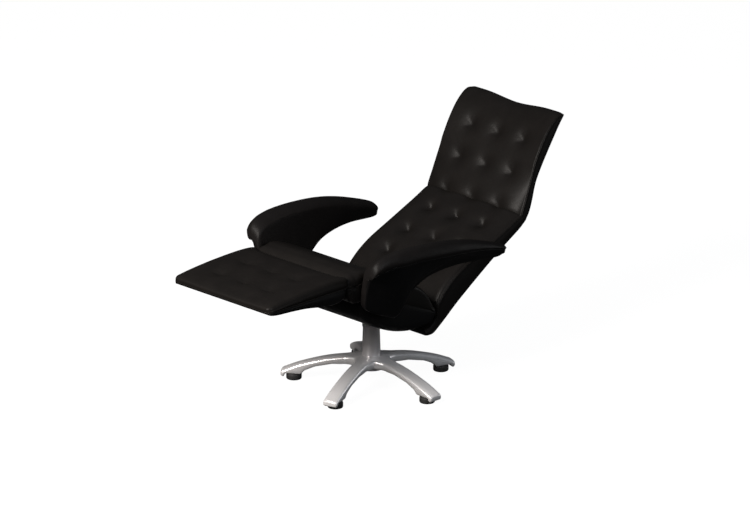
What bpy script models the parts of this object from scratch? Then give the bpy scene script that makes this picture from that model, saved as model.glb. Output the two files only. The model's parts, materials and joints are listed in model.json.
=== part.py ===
"""Reclined leather armchair on a five-arm swivel base.

Metres, +Z up. The origin is on the floor, on the swivel axis. The sitter faces -Y, and +X is
the sitter's left. The chair is modelled lying back with its footrest raised.
"""

import math

import bmesh
import bpy
import numpy as np
from mathutils import Matrix, Vector

# Fits
GAP = 0.0004  # between pieces that touch
RUNNING_GAP = 0.0003  # round a shaft in its bore
SLOT_GAP = 0.0015  # beside a flat piece that moves in a slot
FOOT_CLEARANCE = 0.0068  # between the rounded tail of the seat and the hollow foot of the back

# Base
ARM_COUNT = 5
ARM_REACH = 0.325
ARM_HALF_WIDTH = 0.028
HUB_RADIUS = 0.047
HUB_TOP = 0.108
HUB_BOTTOM = 0.060
GLIDE_RADIUS = 0.028
GLIDE_HEIGHT = 0.025
GLIDE_CIRCLE = 0.280
NOSE_DEPTH = 0.013
COLUMN_FOOT_RADIUS = 0.033
COLUMN_TOP_RADIUS = 0.0305
COLUMN_BORE_RADIUS = 0.0235
COLUMN_FOOT = 0.064
COLUMN_TOP = 0.226
SPINDLE_RADIUS = 0.014
BUSH_LENGTH = 0.034
BUSH_FLANGE = 0.003
SPINDLE_FLANGE = 0.008

# Tilt bracket on the spindle
BRACKET_PLATE = 0.005
BRACKET_HALF_WIDTH = 0.055
BRACKET_FRONT = -0.045
BRACKET_REAR = 0.034
TILT_AXLE = (0.0, 0.275)  # Y and Z of the axis that the seat tilts on
TILT_AXLE_RADIUS = 0.008

# Widths, from the middle of the chair
SEAT_HALF_WIDTH = 0.2375
BACK_HALF_WIDTH = SEAT_HALF_WIDTH - 0.0015
FOOT_HALF_WIDTH = SEAT_HALF_WIDTH + 0.0025
SHELL_HALF_WIDTH = BACK_HALF_WIDTH - 0.014
PAN_HALF_WIDTH = SEAT_HALF_WIDTH - 0.0255
BOARD_HALF_WIDTH = FOOT_HALF_WIDTH - 0.030

# Seat frame
PLATE_X = SEAT_HALF_WIDTH - 0.0515  # inner face of each side plate
PLATE_THICKNESS = 0.005
PLATE_EYE = 0.020
BACK_AXIS = (0.040, 0.303)
BACK_AXLE_RADIUS = 0.007
FOOT_AXIS = (-0.315, 0.502)
FOOT_AXLE_RADIUS = 0.007
CROSS_TUBE_RADIUS = 0.008
CROSS_TUBE_WALL = 0.002
PAN_THICKNESS = 0.012
LINK_THICKNESS = 0.005  # hinge plates of the back and of the footrest

# Upholstery
KNEE_RADIUS = 0.0455
KNEE_HOLLOW = 0.024
TAIL_RADIUS = 0.0455  # rounded rear end of the seat
SEAT_SEAM_Z = 0.345  # seam between cushion and belly above the swivel axis
SEAT_SEAM_SLOPE = -0.437
BELLY_WALL = 0.011
BACK_SHELL = 0.006
SHELL_ROLL = 0.003  # how far the shells turn in at their sides
FRAME_LAYER = 0.010  # space for the back frame between cushion and shell
RAIL_DEPTH = 0.0085
SIDE_FULLNESS = 40  # a higher power keeps a cushion full closer to its side seams
TUFT_SPACING = 0.129
TUFT_DEPTH = 0.011
TUFT_SPREAD = 0.017
BOARD_THICKNESS = 0.010
FOOT_SEAM_Z = 0.510

# Arms
ARM_CORE_THICKNESS = 0.014
BOLT_RADIUS = 0.010
BOLT_PLACES = ((-0.265, 0.415), (-0.215, 0.398))

# Gas spring that locks the back
STRUT_X = PLATE_X - 0.058
STRUT_CRANK = 0.028
STRUT_MID_ANGLE = math.radians(-116.0)
BACK_TRAVEL = math.radians(35.0)
STRUT_BODY_RADIUS = 0.0095
STRUT_ROD_RADIUS = 0.004
STRUT_ROD_SHOWN = 0.052
STRUT_BODY_LENGTH = 0.170
STRUT_PIN_RADIUS = 0.004
STRUT_EYE_PLAY = 0.0018

# Release lever, under the right arm
LEVER_AXIS = (-0.105, 0.345)
LEVER_SHAFT_RADIUS = 0.006
LEVER_REACH = 0.085
LEVER_THICKNESS = 0.008
LEVER_STANDOFF = 0.006


def clear_scene():
    for item in list(bpy.data.objects):
        bpy.data.objects.remove(item, do_unlink=True)


def make_material(name, colour, roughness, metallic=0.0):
    made = bpy.data.materials.new(name)
    made.use_nodes = True
    shader = made.node_tree.nodes["Principled BSDF"]
    shader.inputs["Base Color"].default_value = (*colour, 1.0)
    shader.inputs["Roughness"].default_value = roughness
    shader.inputs["Metallic"].default_value = metallic
    return made


def add_object(name, mesh_edit, finish, origin=(0.0, 0.0, 0.0)):
    """Turns a bmesh in world coordinates into an object whose origin is at the given point."""
    mesh_edit.normal_update()
    bmesh.ops.triangulate(mesh_edit, faces=mesh_edit.faces)
    bmesh.ops.recalc_face_normals(mesh_edit, faces=mesh_edit.faces)
    mesh = bpy.data.meshes.new(name)
    mesh_edit.to_mesh(mesh)
    mesh_edit.free()
    mesh.transform(Matrix.Translation(-Vector(origin)))
    mesh.shade_smooth()
    mesh.set_sharp_from_angle(angle=math.radians(40.0))
    mesh.materials.append(finish)
    made = bpy.data.objects.new(name, mesh)
    made.location = origin
    bpy.context.scene.collection.objects.link(made)
    return made


def join_pieces(target, other, operation):
    """Leaves a Boolean on the target, with the other object as its hidden guide."""
    other.hide_render = True
    other.display_type = "WIRE"
    change = target.modifiers.new(operation.lower(), "BOOLEAN")
    change.operation = operation
    change.solver = "EXACT"
    change.object = other


def loft(rings):
    """A closed bmesh through rings of equally many points, with its two ends filled."""
    shape = bmesh.new()
    loops = [[shape.verts.new(point) for point in ring] for ring in rings]
    for first, second in zip(loops, loops[1:]):
        for i in range(len(first)):
            j = (i + 1) % len(first)
            shape.faces.new((first[i], first[j], second[j], second[i]))
    shape.faces.new(loops[0][::-1])
    shape.faces.new(loops[-1])
    return shape


def prism(outline, x_low, x_high):
    """A side outline of (y, z) points, as thick as from one x to the other."""
    return loft([[(x, y, z) for y, z in outline] for x in (x_low, x_high)])


def box(low, high):
    outline = ((low[1], low[2]), (high[1], low[2]), (high[1], high[2]), (low[1], high[2]))
    return prism(outline, low[0], high[0])


def turned(profile, steps=24, centre=(0.0, 0.0)):
    """Turns a closed profile of (radius, z) points round a vertical axis."""
    shape = bmesh.new()
    loops = []
    for k in range(steps):
        angle = 2.0 * math.pi * k / steps
        across, along = math.cos(angle), math.sin(angle)
        loops.append(
            [shape.verts.new((centre[0] + r * across, centre[1] + r * along, z)) for r, z in profile]
        )
    for k in range(steps):
        first, second = loops[k], loops[(k + 1) % steps]
        for i in range(len(profile)):
            j = (i + 1) % len(profile)
            if profile[i][0] > 0.0 or profile[j][0] > 0.0:
                shape.faces.new((first[i], first[j], second[j], second[i]))
    bmesh.ops.remove_doubles(shape, verts=shape.verts, dist=1e-6)
    return shape


def rod(start, end, radius, sides=16):
    """A round bar between two points."""
    start, end = Vector(start), Vector(end)
    along = (end - start).normalized()
    across = along.orthogonal().normalized()
    upward = along.cross(across)
    angles = [2.0 * math.pi * k / sides for k in range(sides)]
    return loft(
        [
            [end_point + radius * (math.cos(a) * across + math.sin(a) * upward) for a in angles]
            for end_point in (start, end)
        ]
    )


def cross_rod(axis, radius, x_low, x_high, sides=16):
    """A round bar along X on the axis at (y, z)."""
    return rod((x_low, *axis), (x_high, *axis), radius, sides)


def arc(centre, radius, start, end, count):
    """Points on an arc round (y, z), with angles in degrees from +Y towards +Z."""
    turns = [math.radians(start + (end - start) * k / (count - 1)) for k in range(count)]
    return [(centre[0] + radius * math.cos(a), centre[1] + radius * math.sin(a)) for a in turns]


def evenly(points, count):
    """Evenly spaced points along straight runs between the given ones."""
    given = np.array(points, float)
    run = np.concatenate([[0.0], np.cumsum(np.linalg.norm(np.diff(given, axis=0), axis=1))])
    wanted = np.linspace(0.0, run[-1], count)
    return np.stack([np.interp(wanted, run, given[:, k]) for k in range(given.shape[1])], axis=1)


def spline(points, count):
    """Evenly spaced points on a smooth curve through the given ones."""
    given = np.array(points, float)
    padded = np.vstack([2 * given[0] - given[1], given, 2 * given[-1] - given[-2]])
    dense = []
    for k in range(len(given) - 1):
        a, b, c, d = padded[k : k + 4]
        for t in np.linspace(0.0, 1.0, 24, endpoint=False):
            dense.append(
                0.5 * (2 * b + (c - a) * t + (2 * a - 5 * b + 4 * c - d) * t**2)
                + 0.5 * (3 * b - 3 * c + d - a) * t**3
            )
    return evenly(dense + [given[-1]], count)


def offset_curve(curve, distance):
    """The curve moved to its left by a distance."""
    along = np.gradient(curve, axis=0)
    along /= np.linalg.norm(along, axis=1)[:, None]
    return curve + distance * np.stack([-along[:, 1], along[:, 0]], axis=1)


def strip(curve, depth):
    """The outline of a bar of even depth that follows a curve at its middle."""
    upper = offset_curve(curve, depth / 2.0)
    lower = offset_curve(curve, -depth / 2.0)
    return [tuple(p) for p in upper] + [tuple(p) for p in lower[::-1]]


def bar_outline(start, end, start_radius, end_radius, count=9):
    """A side outline with a round end about each of two (y, z) points."""
    lean = math.degrees(math.atan2(end[1] - start[1], end[0] - start[0]))
    return arc(start, start_radius, lean + 90.0, lean + 270.0, count) + arc(
        end, end_radius, lean - 90.0, lean + 90.0, count
    )


def column_places(count):
    """Places across a cushion from -1 to 1, closer together towards its sides."""
    return [math.sin(0.5 * math.pi * (2.0 * k / count - 1.0)) for k in range(count + 1)]


def pillow(front, rear, half_width, corner, columns=16, seam=0.5, tufts=(), crown=0.0, bolster=0.0):
    """A stuffed body between two side curves that share their ends.

    Its sides draw in to a seam, its four corners are rounded, and its front face is crowned
    across, raised towards the sides by a bolster, and sunk at each tuft.
    """
    shape = bmesh.new()
    rows = len(front)
    middle = rear + (front - rear) * seam
    run = np.concatenate([[0.0], np.cumsum(np.linalg.norm(np.diff(middle, axis=0), axis=1))])
    grids = {"front": [], "rear": []}
    for i in range(rows):
        near_end = min(run[i], run[-1] - run[i], corner)
        half = half_width - corner + math.sqrt(corner**2 - (corner - near_end) ** 2)
        outward = front[i] - rear[i]
        thick = np.linalg.norm(outward)
        outward = outward / thick if thick > 1e-9 else np.zeros(2)
        front_row, rear_row = [], []
        for u in column_places(columns):
            x = half * u
            fullness = math.sqrt(max(0.0, 1.0 - abs(u) ** SIDE_FULLNESS))
            rise = min(1.0, thick / 0.02) * fullness
            lift = rise * (crown * (1.0 - u * u) + bolster * math.sin(math.pi * u * u))
            front_point = middle[i] + (front[i] - middle[i]) * fullness + outward * lift
            rear_point = middle[i] + (rear[i] - middle[i]) * fullness
            for tuft in tufts:
                apart = math.dist((x, *front_point), tuft)
                sink = TUFT_DEPTH * math.exp(-((apart / TUFT_SPREAD) ** 2) / 2.0)
                front_point = front_point - outward * min(sink, 0.6 * thick * rise)
            front_vert = shape.verts.new((x, *front_point))
            front_row.append(front_vert)
            shared = i in (0, rows - 1) or u in (-1.0, 1.0)
            rear_row.append(front_vert if shared else shape.verts.new((x, *rear_point)))
        grids["front"].append(front_row)
        grids["rear"].append(rear_row)
    for side, grid in grids.items():
        for i in range(rows - 1):
            for j in range(columns):
                corners = (grid[i][j], grid[i][j + 1], grid[i + 1][j + 1], grid[i + 1][j])
                shape.faces.new(corners if side == "front" else corners[::-1])
    return shape


def seam_height(y):
    """Height of the seat's side seam at a distance from the swivel axis."""
    return SEAT_SEAM_Z + SEAT_SEAM_SLOPE * y


# Side curves of the back, from its foot to the fold below the head section
BACK_REAR = (
    (0.040, 0.2270),
    (0.064, 0.2215),
    (0.090, 0.2250),
    (0.137, 0.2560),
    (0.198, 0.3020),
    (0.263, 0.3460),
    (0.360, 0.4090),
    (0.450, 0.4640),
    (0.520, 0.5040),
    (0.5480, 0.5320),
)
BACK_FRONT_FOOT = arc(BACK_AXIS, TAIL_RADIUS + FOOT_CLEARANCE, -88.0, 4.0, 6)
BACK_FRONT = (
    (0.100, 0.3400),
    (0.137, 0.3830),
    (0.200, 0.4270),
    (0.289, 0.4680),
    (0.370, 0.4940),
    (0.451, 0.5190),
    (0.5030, 0.5430),
    (0.5360, 0.5600),
)
FOLD = (0.5520, 0.5450)  # axis that the head section tilts on
FOLD_PIN_RADIUS = 0.0025

# Side curves of the head section, from the fold to its top edge
HEAD_REAR = (
    (0.5680, 0.5510),
    (0.5900, 0.5980),
    (0.6130, 0.6580),
    (0.6440, 0.7160),
    (0.6770, 0.7700),
    (0.7120, 0.8240),
    (0.7490, 0.8870),
)
HEAD_FRONT = (
    (0.5410, 0.5645),
    (0.5570, 0.6120),
    (0.5760, 0.6690),
    (0.6070, 0.7370),
    (0.6390, 0.7960),
    (0.6710, 0.8450),
    (0.7100, 0.8800),
)

# Side curves of the seat cushion, from the front of the knee roll to its tail
SEAT_TOP = (
    (-0.2800, 0.5485),
    (-0.2300, 0.5350),
    (-0.1400, 0.4950),
    (-0.0140, 0.4310),
    (0.0360, 0.3950),
    (0.0650, 0.3550),
    (0.0820, 0.3240),
)
SEAT_TAIL_END = (0.0857, 0.3090)
KNEE_CUT_ANGLE = 165.0

# Side curve of the belly, from its front top edge to its tail
BELLY_UNDER = (
    (-0.2870, 0.4300),
    (-0.2850, 0.4050),
    (-0.2650, 0.3620),
    (-0.2000, 0.3180),
    (-0.1200, 0.2810),
    (-0.0400, 0.2610),
    (0.0200, 0.2575),
)

# Side curves of the footrest, from its front edge to the knee
FOOT_TOP = (
    (-0.7100, 0.5270),
    (-0.6500, 0.5380),
    (-0.5500, 0.5460),
    (-0.4300, 0.5500),
    (-0.3600, 0.5480),
)
FOOT_FRONT_EDGE = (-0.7390, 0.5115)
FOOT_REAR_EDGE = (-0.3630, 0.5115)
FOOT_UNDER = (
    (-0.7150, 0.4960),
    (-0.6500, 0.4890),
    (-0.5700, 0.4840),
    (-0.4900, 0.4680),
    (-0.4400, 0.4580),
    (-0.3900, 0.4620),
    (-0.3550, 0.4740),
)

# Side curves of an arm, from its front edge to its rear tip: its ridge and its two lower edges.
# Its breadths are (y, x) tables, with x counted outwards from the side of the seat.
ARM_RIDGE = (
    (-0.3340, 0.5650),
    (-0.3180, 0.6000),
    (-0.2600, 0.6190),
    (-0.1300, 0.6230),
    (0.0200, 0.6110),
    (0.1400, 0.5880),
    (0.2450, 0.5570),
    (0.3300, 0.5180),
    (0.3440, 0.5050),
)
ARM_OUTER_EDGE = (
    (-0.3360, 0.4600),
    (-0.3300, 0.4340),
    (-0.2280, 0.3850),
    (-0.1500, 0.3560),
    (-0.1150, 0.3900),
    (-0.0700, 0.4600),
    (0.0250, 0.5110),
    (0.1150, 0.5190),
    (0.2100, 0.5100),
    (0.3250, 0.4890),
    (0.3420, 0.4920),
)
ARM_INNER_EDGE = (
    (-0.3360, 0.4600),
    (-0.3300, 0.4340),
    (-0.2280, 0.3850),
    (-0.1500, 0.3560),
    (-0.1000, 0.3900),
    (-0.0400, 0.4400),
    (0.0200, 0.4700),
    (0.1100, 0.4830),
    (0.2000, 0.4830),
    (0.3250, 0.4740),
    (0.3420, 0.4860),
)
ARM_TOP_INSIDE = ((-0.34, 0.0245), (-0.15, 0.0325), (0.05, 0.0465), (0.20, 0.0545), (0.35, 0.0625))
ARM_TOP_OUTSIDE = ((-0.34, 0.0925), (-0.20, 0.1095), (-0.05, 0.1175), (0.10, 0.1195), (0.35, 0.1065))
ARM_FOOT_INSIDE = ((-0.34, 0.006), (-0.12, 0.006), (0.05, 0.0345), (0.20, 0.0575), (0.35, 0.0685))
ARM_FOOT_OUTSIDE = ((-0.34, 0.0455), (-0.15, 0.0345), (-0.07, 0.0535), (0.03, 0.0845), (0.35, 0.0975))
ARM_SEAM = (
    (-0.40, 0.536),
    (-0.33, 0.546),
    (-0.28, 0.553),
    (-0.195, 0.5636),
    (-0.10, 0.5607),
    (0.00, 0.5558),
    (0.10, 0.5467),
    (0.20, 0.5337),
    (0.31, 0.5140),
    (0.42, 0.4900),
)
PANEL_INSIDE = ((-0.42, 0.0409), (-0.06, 0.0409), (0.05, 0.0645), (0.15, 0.0745), (0.42, 0.0785))
PANEL_REACH = 0.1825  # past the widest place of the arm
ARM_LEAN = 0.12  # outward lean of the arm's board and panel
ARM_LEAN_FROM = 0.475
CORE_INSIDE = SEAT_HALF_WIDTH + 0.0265
CORE_OUTLINE = (
    (-0.300, 0.548),
    (-0.300, 0.455),
    (-0.250, 0.425),
    (-0.180, 0.392),
    (-0.155, 0.392),
    (-0.125, 0.430),
    (-0.090, 0.480),
    (-0.060, 0.500),
    (-0.060, 0.545),
    (-0.150, 0.550),
)


def build_base(metal, rubber, steel, plastic):
    """The cast star with its glides, and the column with its two bushes."""
    rise = ((0.0, 0.1065), (0.07, 0.1065), (0.14, 0.099), (0.21, 0.082), (0.27, 0.061), (0.315, 0.040))
    hollow = ((0.0, 0.070), (0.07, 0.070), (0.14, 0.066), (0.20, 0.053), (0.245, 0.034))
    reaches = [0.0, 0.05, 0.10, 0.15, 0.20, 0.245]
    sole = GLIDE_HEIGHT + GAP
    seat_start = GLIDE_CIRCLE - GLIDE_RADIUS + 0.002
    nose_start = GLIDE_CIRCLE + GLIDE_RADIUS + 0.002
    stations = [(r, np.interp(r, *zip(*rise)), np.interp(r, *zip(*hollow))) for r in reaches]
    stations += [(seat_start, np.interp(seat_start, *zip(*rise)), sole)]
    stations += [(nose_start - 0.001, np.interp(nose_start, *zip(*rise)), sole)]
    stations += [(nose_start, np.interp(nose_start, *zip(*rise)), NOSE_DEPTH)]
    stations += [(ARM_REACH - 0.004, 0.033, NOSE_DEPTH), (ARM_REACH, 0.026, NOSE_DEPTH + 0.003)]
    hub_profile = (
        (0.0, HUB_TOP),
        (HUB_RADIUS - 0.006, HUB_TOP),
        (HUB_RADIUS + 0.004, HUB_TOP - 0.004),
        (HUB_RADIUS + 0.010, HUB_BOTTOM + 0.006),
        (HUB_RADIUS + 0.006, HUB_BOTTOM),
        (0.0, HUB_BOTTOM),
    )
    star = add_object("star_base", turned(hub_profile, 32), metal)
    for k in range(ARM_COUNT):
        turn = Matrix.Rotation(2.0 * math.pi * k / ARM_COUNT, 3, "Z")
        rings = []
        for reach, top, under in stations:
            w = ARM_HALF_WIDTH
            depth = top - under
            section = (
                (0.62 * w, top - 0.10 * depth),
                (0.25 * w, top),
                (-0.25 * w, top),
                (-0.62 * w, top - 0.10 * depth),
                (-0.96 * w, top - 0.42 * depth),
                (-w, top - 0.70 * depth),
                (-0.86 * w, under),
                (0.86 * w, under),
                (w, top - 0.70 * depth),
                (0.96 * w, top - 0.42 * depth),
            )
            rings.append([turn @ Vector((reach, y, z)) for y, z in section])
        join_pieces(star, add_object(f"guide_arm_{k + 1}", loft(rings), metal), "UNION")
        foot = turn @ Vector((GLIDE_CIRCLE, 0.0, 0.0))
        glide_profile = (
            (0.0, 0.0),
            (GLIDE_RADIUS - 0.003, 0.0),
            (GLIDE_RADIUS, 0.003),
            (GLIDE_RADIUS, GLIDE_HEIGHT - 0.004),
            (GLIDE_RADIUS - 0.004, GLIDE_HEIGHT),
            (0.0, GLIDE_HEIGHT),
        )
        add_object(f"glide_{k + 1}", turned(glide_profile, 24, foot[:2]), rubber)
    well = turned(
        (
            (0.0, COLUMN_FOOT),
            (COLUMN_FOOT_RADIUS + GAP, COLUMN_FOOT),
            (COLUMN_FOOT_RADIUS + GAP, HUB_TOP + 0.01),
            (0.0, HUB_TOP + 0.01),
        ),
        32,
    )
    join_pieces(star, add_object("guide_column_well", well, metal), "DIFFERENCE")
    column_profile = (
        (COLUMN_BORE_RADIUS, COLUMN_FOOT + GAP),
        (COLUMN_FOOT_RADIUS, COLUMN_FOOT + GAP),
        (COLUMN_FOOT_RADIUS, COLUMN_FOOT + 0.06),
        (COLUMN_TOP_RADIUS, COLUMN_TOP - 0.012),
        (COLUMN_TOP_RADIUS + 0.002, COLUMN_TOP - 0.010),
        (COLUMN_TOP_RADIUS + 0.002, COLUMN_TOP - 0.001),
        (COLUMN_TOP_RADIUS + 0.001, COLUMN_TOP),
        (COLUMN_BORE_RADIUS, COLUMN_TOP),
    )
    add_object("column_tube", turned(column_profile, 32), steel)
    bush_outer = COLUMN_BORE_RADIUS - GAP
    bush_inner = SPINDLE_RADIUS + RUNNING_GAP
    flange_bottom = COLUMN_TOP + GAP
    upper_profile = (
        (bush_inner, COLUMN_TOP - BUSH_LENGTH),
        (bush_outer, COLUMN_TOP - BUSH_LENGTH),
        (bush_outer, flange_bottom),
        (COLUMN_TOP_RADIUS - 0.001, flange_bottom),
        (COLUMN_TOP_RADIUS - 0.001, flange_bottom + BUSH_FLANGE),
        (bush_inner, flange_bottom + BUSH_FLANGE),
    )
    add_object("column_bush_upper", turned(upper_profile), plastic)
    lower_top = COLUMN_TOP - 2.2 * BUSH_LENGTH
    lower_profile = (
        (bush_inner, lower_top - BUSH_LENGTH),
        (bush_outer, lower_top - BUSH_LENGTH),
        (bush_outer, lower_top),
        (bush_inner, lower_top),
    )
    add_object("column_bush_lower", turned(lower_profile), plastic)
    return flange_bottom + BUSH_FLANGE, lower_top - BUSH_LENGTH


def build_carriage(steel, zinc, thrust_height, bush_foot):
    """What turns on the column: the spindle, its nut, the tilt bracket and the tilt axle."""
    flange_low = thrust_height + RUNNING_GAP
    flange_high = flange_low + SPINDLE_FLANGE
    nut_top = bush_foot - RUNNING_GAP
    nut_height = 0.010
    spindle_profile = (
        (0.0, nut_top - nut_height - 0.003),
        (SPINDLE_RADIUS - 0.003, nut_top - nut_height - 0.003),
        (SPINDLE_RADIUS - 0.003, nut_top),
        (SPINDLE_RADIUS, nut_top + 0.002),
        (SPINDLE_RADIUS, flange_low),
        (COLUMN_TOP_RADIUS - 0.001, flange_low),
        (COLUMN_TOP_RADIUS - 0.001, flange_high),
        (0.0, flange_high),
    )
    add_object("spindle", turned(spindle_profile), steel)
    nut_profile = (
        (SPINDLE_RADIUS - 0.003 + GAP, nut_top - nut_height),
        (SPINDLE_RADIUS + 0.006, nut_top - nut_height),
        (SPINDLE_RADIUS + 0.006, nut_top),
        (SPINDLE_RADIUS - 0.003 + GAP, nut_top),
    )
    add_object("spindle_nut", turned(nut_profile, 6 * 4), zinc)
    floor = flange_high + GAP
    cheek_top = TILT_AXLE[1] + 2.4 * TILT_AXLE_RADIUS
    half, wall = BRACKET_HALF_WIDTH, BRACKET_PLATE
    section = (
        (-half, floor),
        (half, floor),
        (half, cheek_top),
        (half - wall, cheek_top),
        (half - wall, floor + wall),
        (wall - half, floor + wall),
        (wall - half, cheek_top),
        (-half, cheek_top),
    )
    rings = [[(x, y, z) for x, z in section] for y in (BRACKET_FRONT, BRACKET_REAR)]
    bracket = add_object("tilt_bracket", loft(rings), zinc)
    bore = cross_rod(TILT_AXLE, TILT_AXLE_RADIUS + GAP, -2 * half, 2 * half)
    join_pieces(bracket, add_object("guide_tilt_bore", bore, zinc), "DIFFERENCE")
    reach = lug_faces(1)[1] + 0.004
    axle = cross_rod(TILT_AXLE, TILT_AXLE_RADIUS, -reach, reach)
    add_object("tilt_axle", axle, steel, (0.0, *TILT_AXLE))


def lug_faces(side):
    """The two x faces of a tilt lug, just outside the bracket's cheek."""
    inner = BRACKET_HALF_WIDTH + SLOT_GAP
    return sorted((side * inner, side * (inner + PLATE_THICKNESS)))


def hull_outline(circles, count=16):
    """The outline drawn tight round circles of ((y, z), radius)."""
    points = sorted(p for centre, radius in circles for p in arc(centre, radius, 0.0, 360.0, count))
    chains = []
    for ordered in (points, points[::-1]):
        chain = []
        for p in ordered:
            while len(chain) > 1:
                (ay, az), (by, bz) = chain[-2:]
                if (by - ay) * (p[1] - az) - (bz - az) * (p[0] - ay) > 1e-12:
                    break
                chain.pop()
            chain.append(p)
        chains += chain[:-1]
    return chains


def plate_outline():
    """Side outline of a seat plate: a tapering web with an eye at each end."""
    top_front = (-0.275, seam_height(-0.275) - PAN_THICKNESS - 0.003)
    top_rear = (0.000, seam_height(0.0) - PAN_THICKNESS - 0.003)
    foot_eye = arc(FOOT_AXIS, 0.9 * PLATE_EYE, 70.0, 215.0, 9)
    neck = [(-0.300, 0.4510), (-0.2730, 0.4465)]
    lower = [(-0.2720, 0.409), (-0.2530, 0.369), (-0.195, 0.333), (-0.120, 0.298), (-0.038, 0.277)]
    back_eye = arc(BACK_AXIS, 0.9 * PLATE_EYE, 262.0, 450.0, 12)
    return foot_eye + neck + lower + back_eye + [top_rear, top_front]


def build_seat_frame(steel, ply):
    """Two side plates, their cross tubes with the tilt lugs, and the pan under the cushion."""
    holes = (
        (BACK_AXIS, BACK_AXLE_RADIUS + RUNNING_GAP),
        (FOOT_AXIS, FOOT_AXLE_RADIUS + RUNNING_GAP),
    )
    for side, name in ((1, "left"), (-1, "right")):
        faces = sorted((side * PLATE_X, side * (PLATE_X + PLATE_THICKNESS)))
        plate = add_object(f"seat_plate_{name}", prism(plate_outline(), *faces), steel)
        for k, (axis, radius) in enumerate(holes):
            bore_plate(plate, f"plate_{name}_{k + 1}", axis, radius, faces, steel)
    places = {"cross_tube_front": strut_point(STRUT_ROD_SHOWN + STRUT_BODY_LENGTH + 0.0115)}
    places["cross_tube_middle"] = (-0.085, seam_height(-0.085) - PAN_THICKNESS - 0.0155)
    for name, axis in places.items():
        reach = PLATE_X - GAP
        tube = add_object(name, cross_rod(axis, CROSS_TUBE_RADIUS, -reach, reach), steel)
        bore = cross_rod(axis, CROSS_TUBE_RADIUS - CROSS_TUBE_WALL, -1.1 * reach, 1.1 * reach)
        join_pieces(tube, add_object(f"guide_{name}", bore, steel), "DIFFERENCE")
    eyes = [(TILT_AXLE, 0.014)] + [(axis, CROSS_TUBE_RADIUS + 0.0045) for axis in places.values()]
    for side, name in ((1, "left"), (-1, "right")):
        faces = lug_faces(side)
        lug = add_object(f"tilt_lug_{name}", prism(hull_outline(eyes), *faces), steel)
        fits = [(TILT_AXLE, TILT_AXLE_RADIUS + RUNNING_GAP)]
        fits += [(axis, CROSS_TUBE_RADIUS + GAP) for axis in places.values()]
        for k, (axis, radius) in enumerate(fits):
            bore_plate(lug, f"lug_{name}_{k + 1}", axis, radius, faces, steel)
    top = [(y, seam_height(y) - GAP) for y in (-0.275, 0.000)]
    under = [(y, z - PAN_THICKNESS) for y, z in top[::-1]]
    add_object("seat_pan", prism(top + under, -PAN_HALF_WIDTH, PAN_HALF_WIDTH), ply)


def link_faces(side):
    """The two x faces of a hinge plate, just outside the seat plate."""
    inner = PLATE_X + PLATE_THICKNESS + SLOT_GAP
    return sorted((side * inner, side * (inner + LINK_THICKNESS)))


def cut_slots(target, name, low, high, finish):
    """Clears the hinge plates on both sides, between two (y, z) corners."""
    for side, side_name in ((1, "left"), (-1, "right")):
        inner, outer = link_faces(side)
        shape = box((inner - SLOT_GAP, *low), (outer + SLOT_GAP, *high))
        guide = add_object(f"guide_{name}_{side_name}", shape, finish)
        join_pieces(target, guide, "DIFFERENCE")


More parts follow.
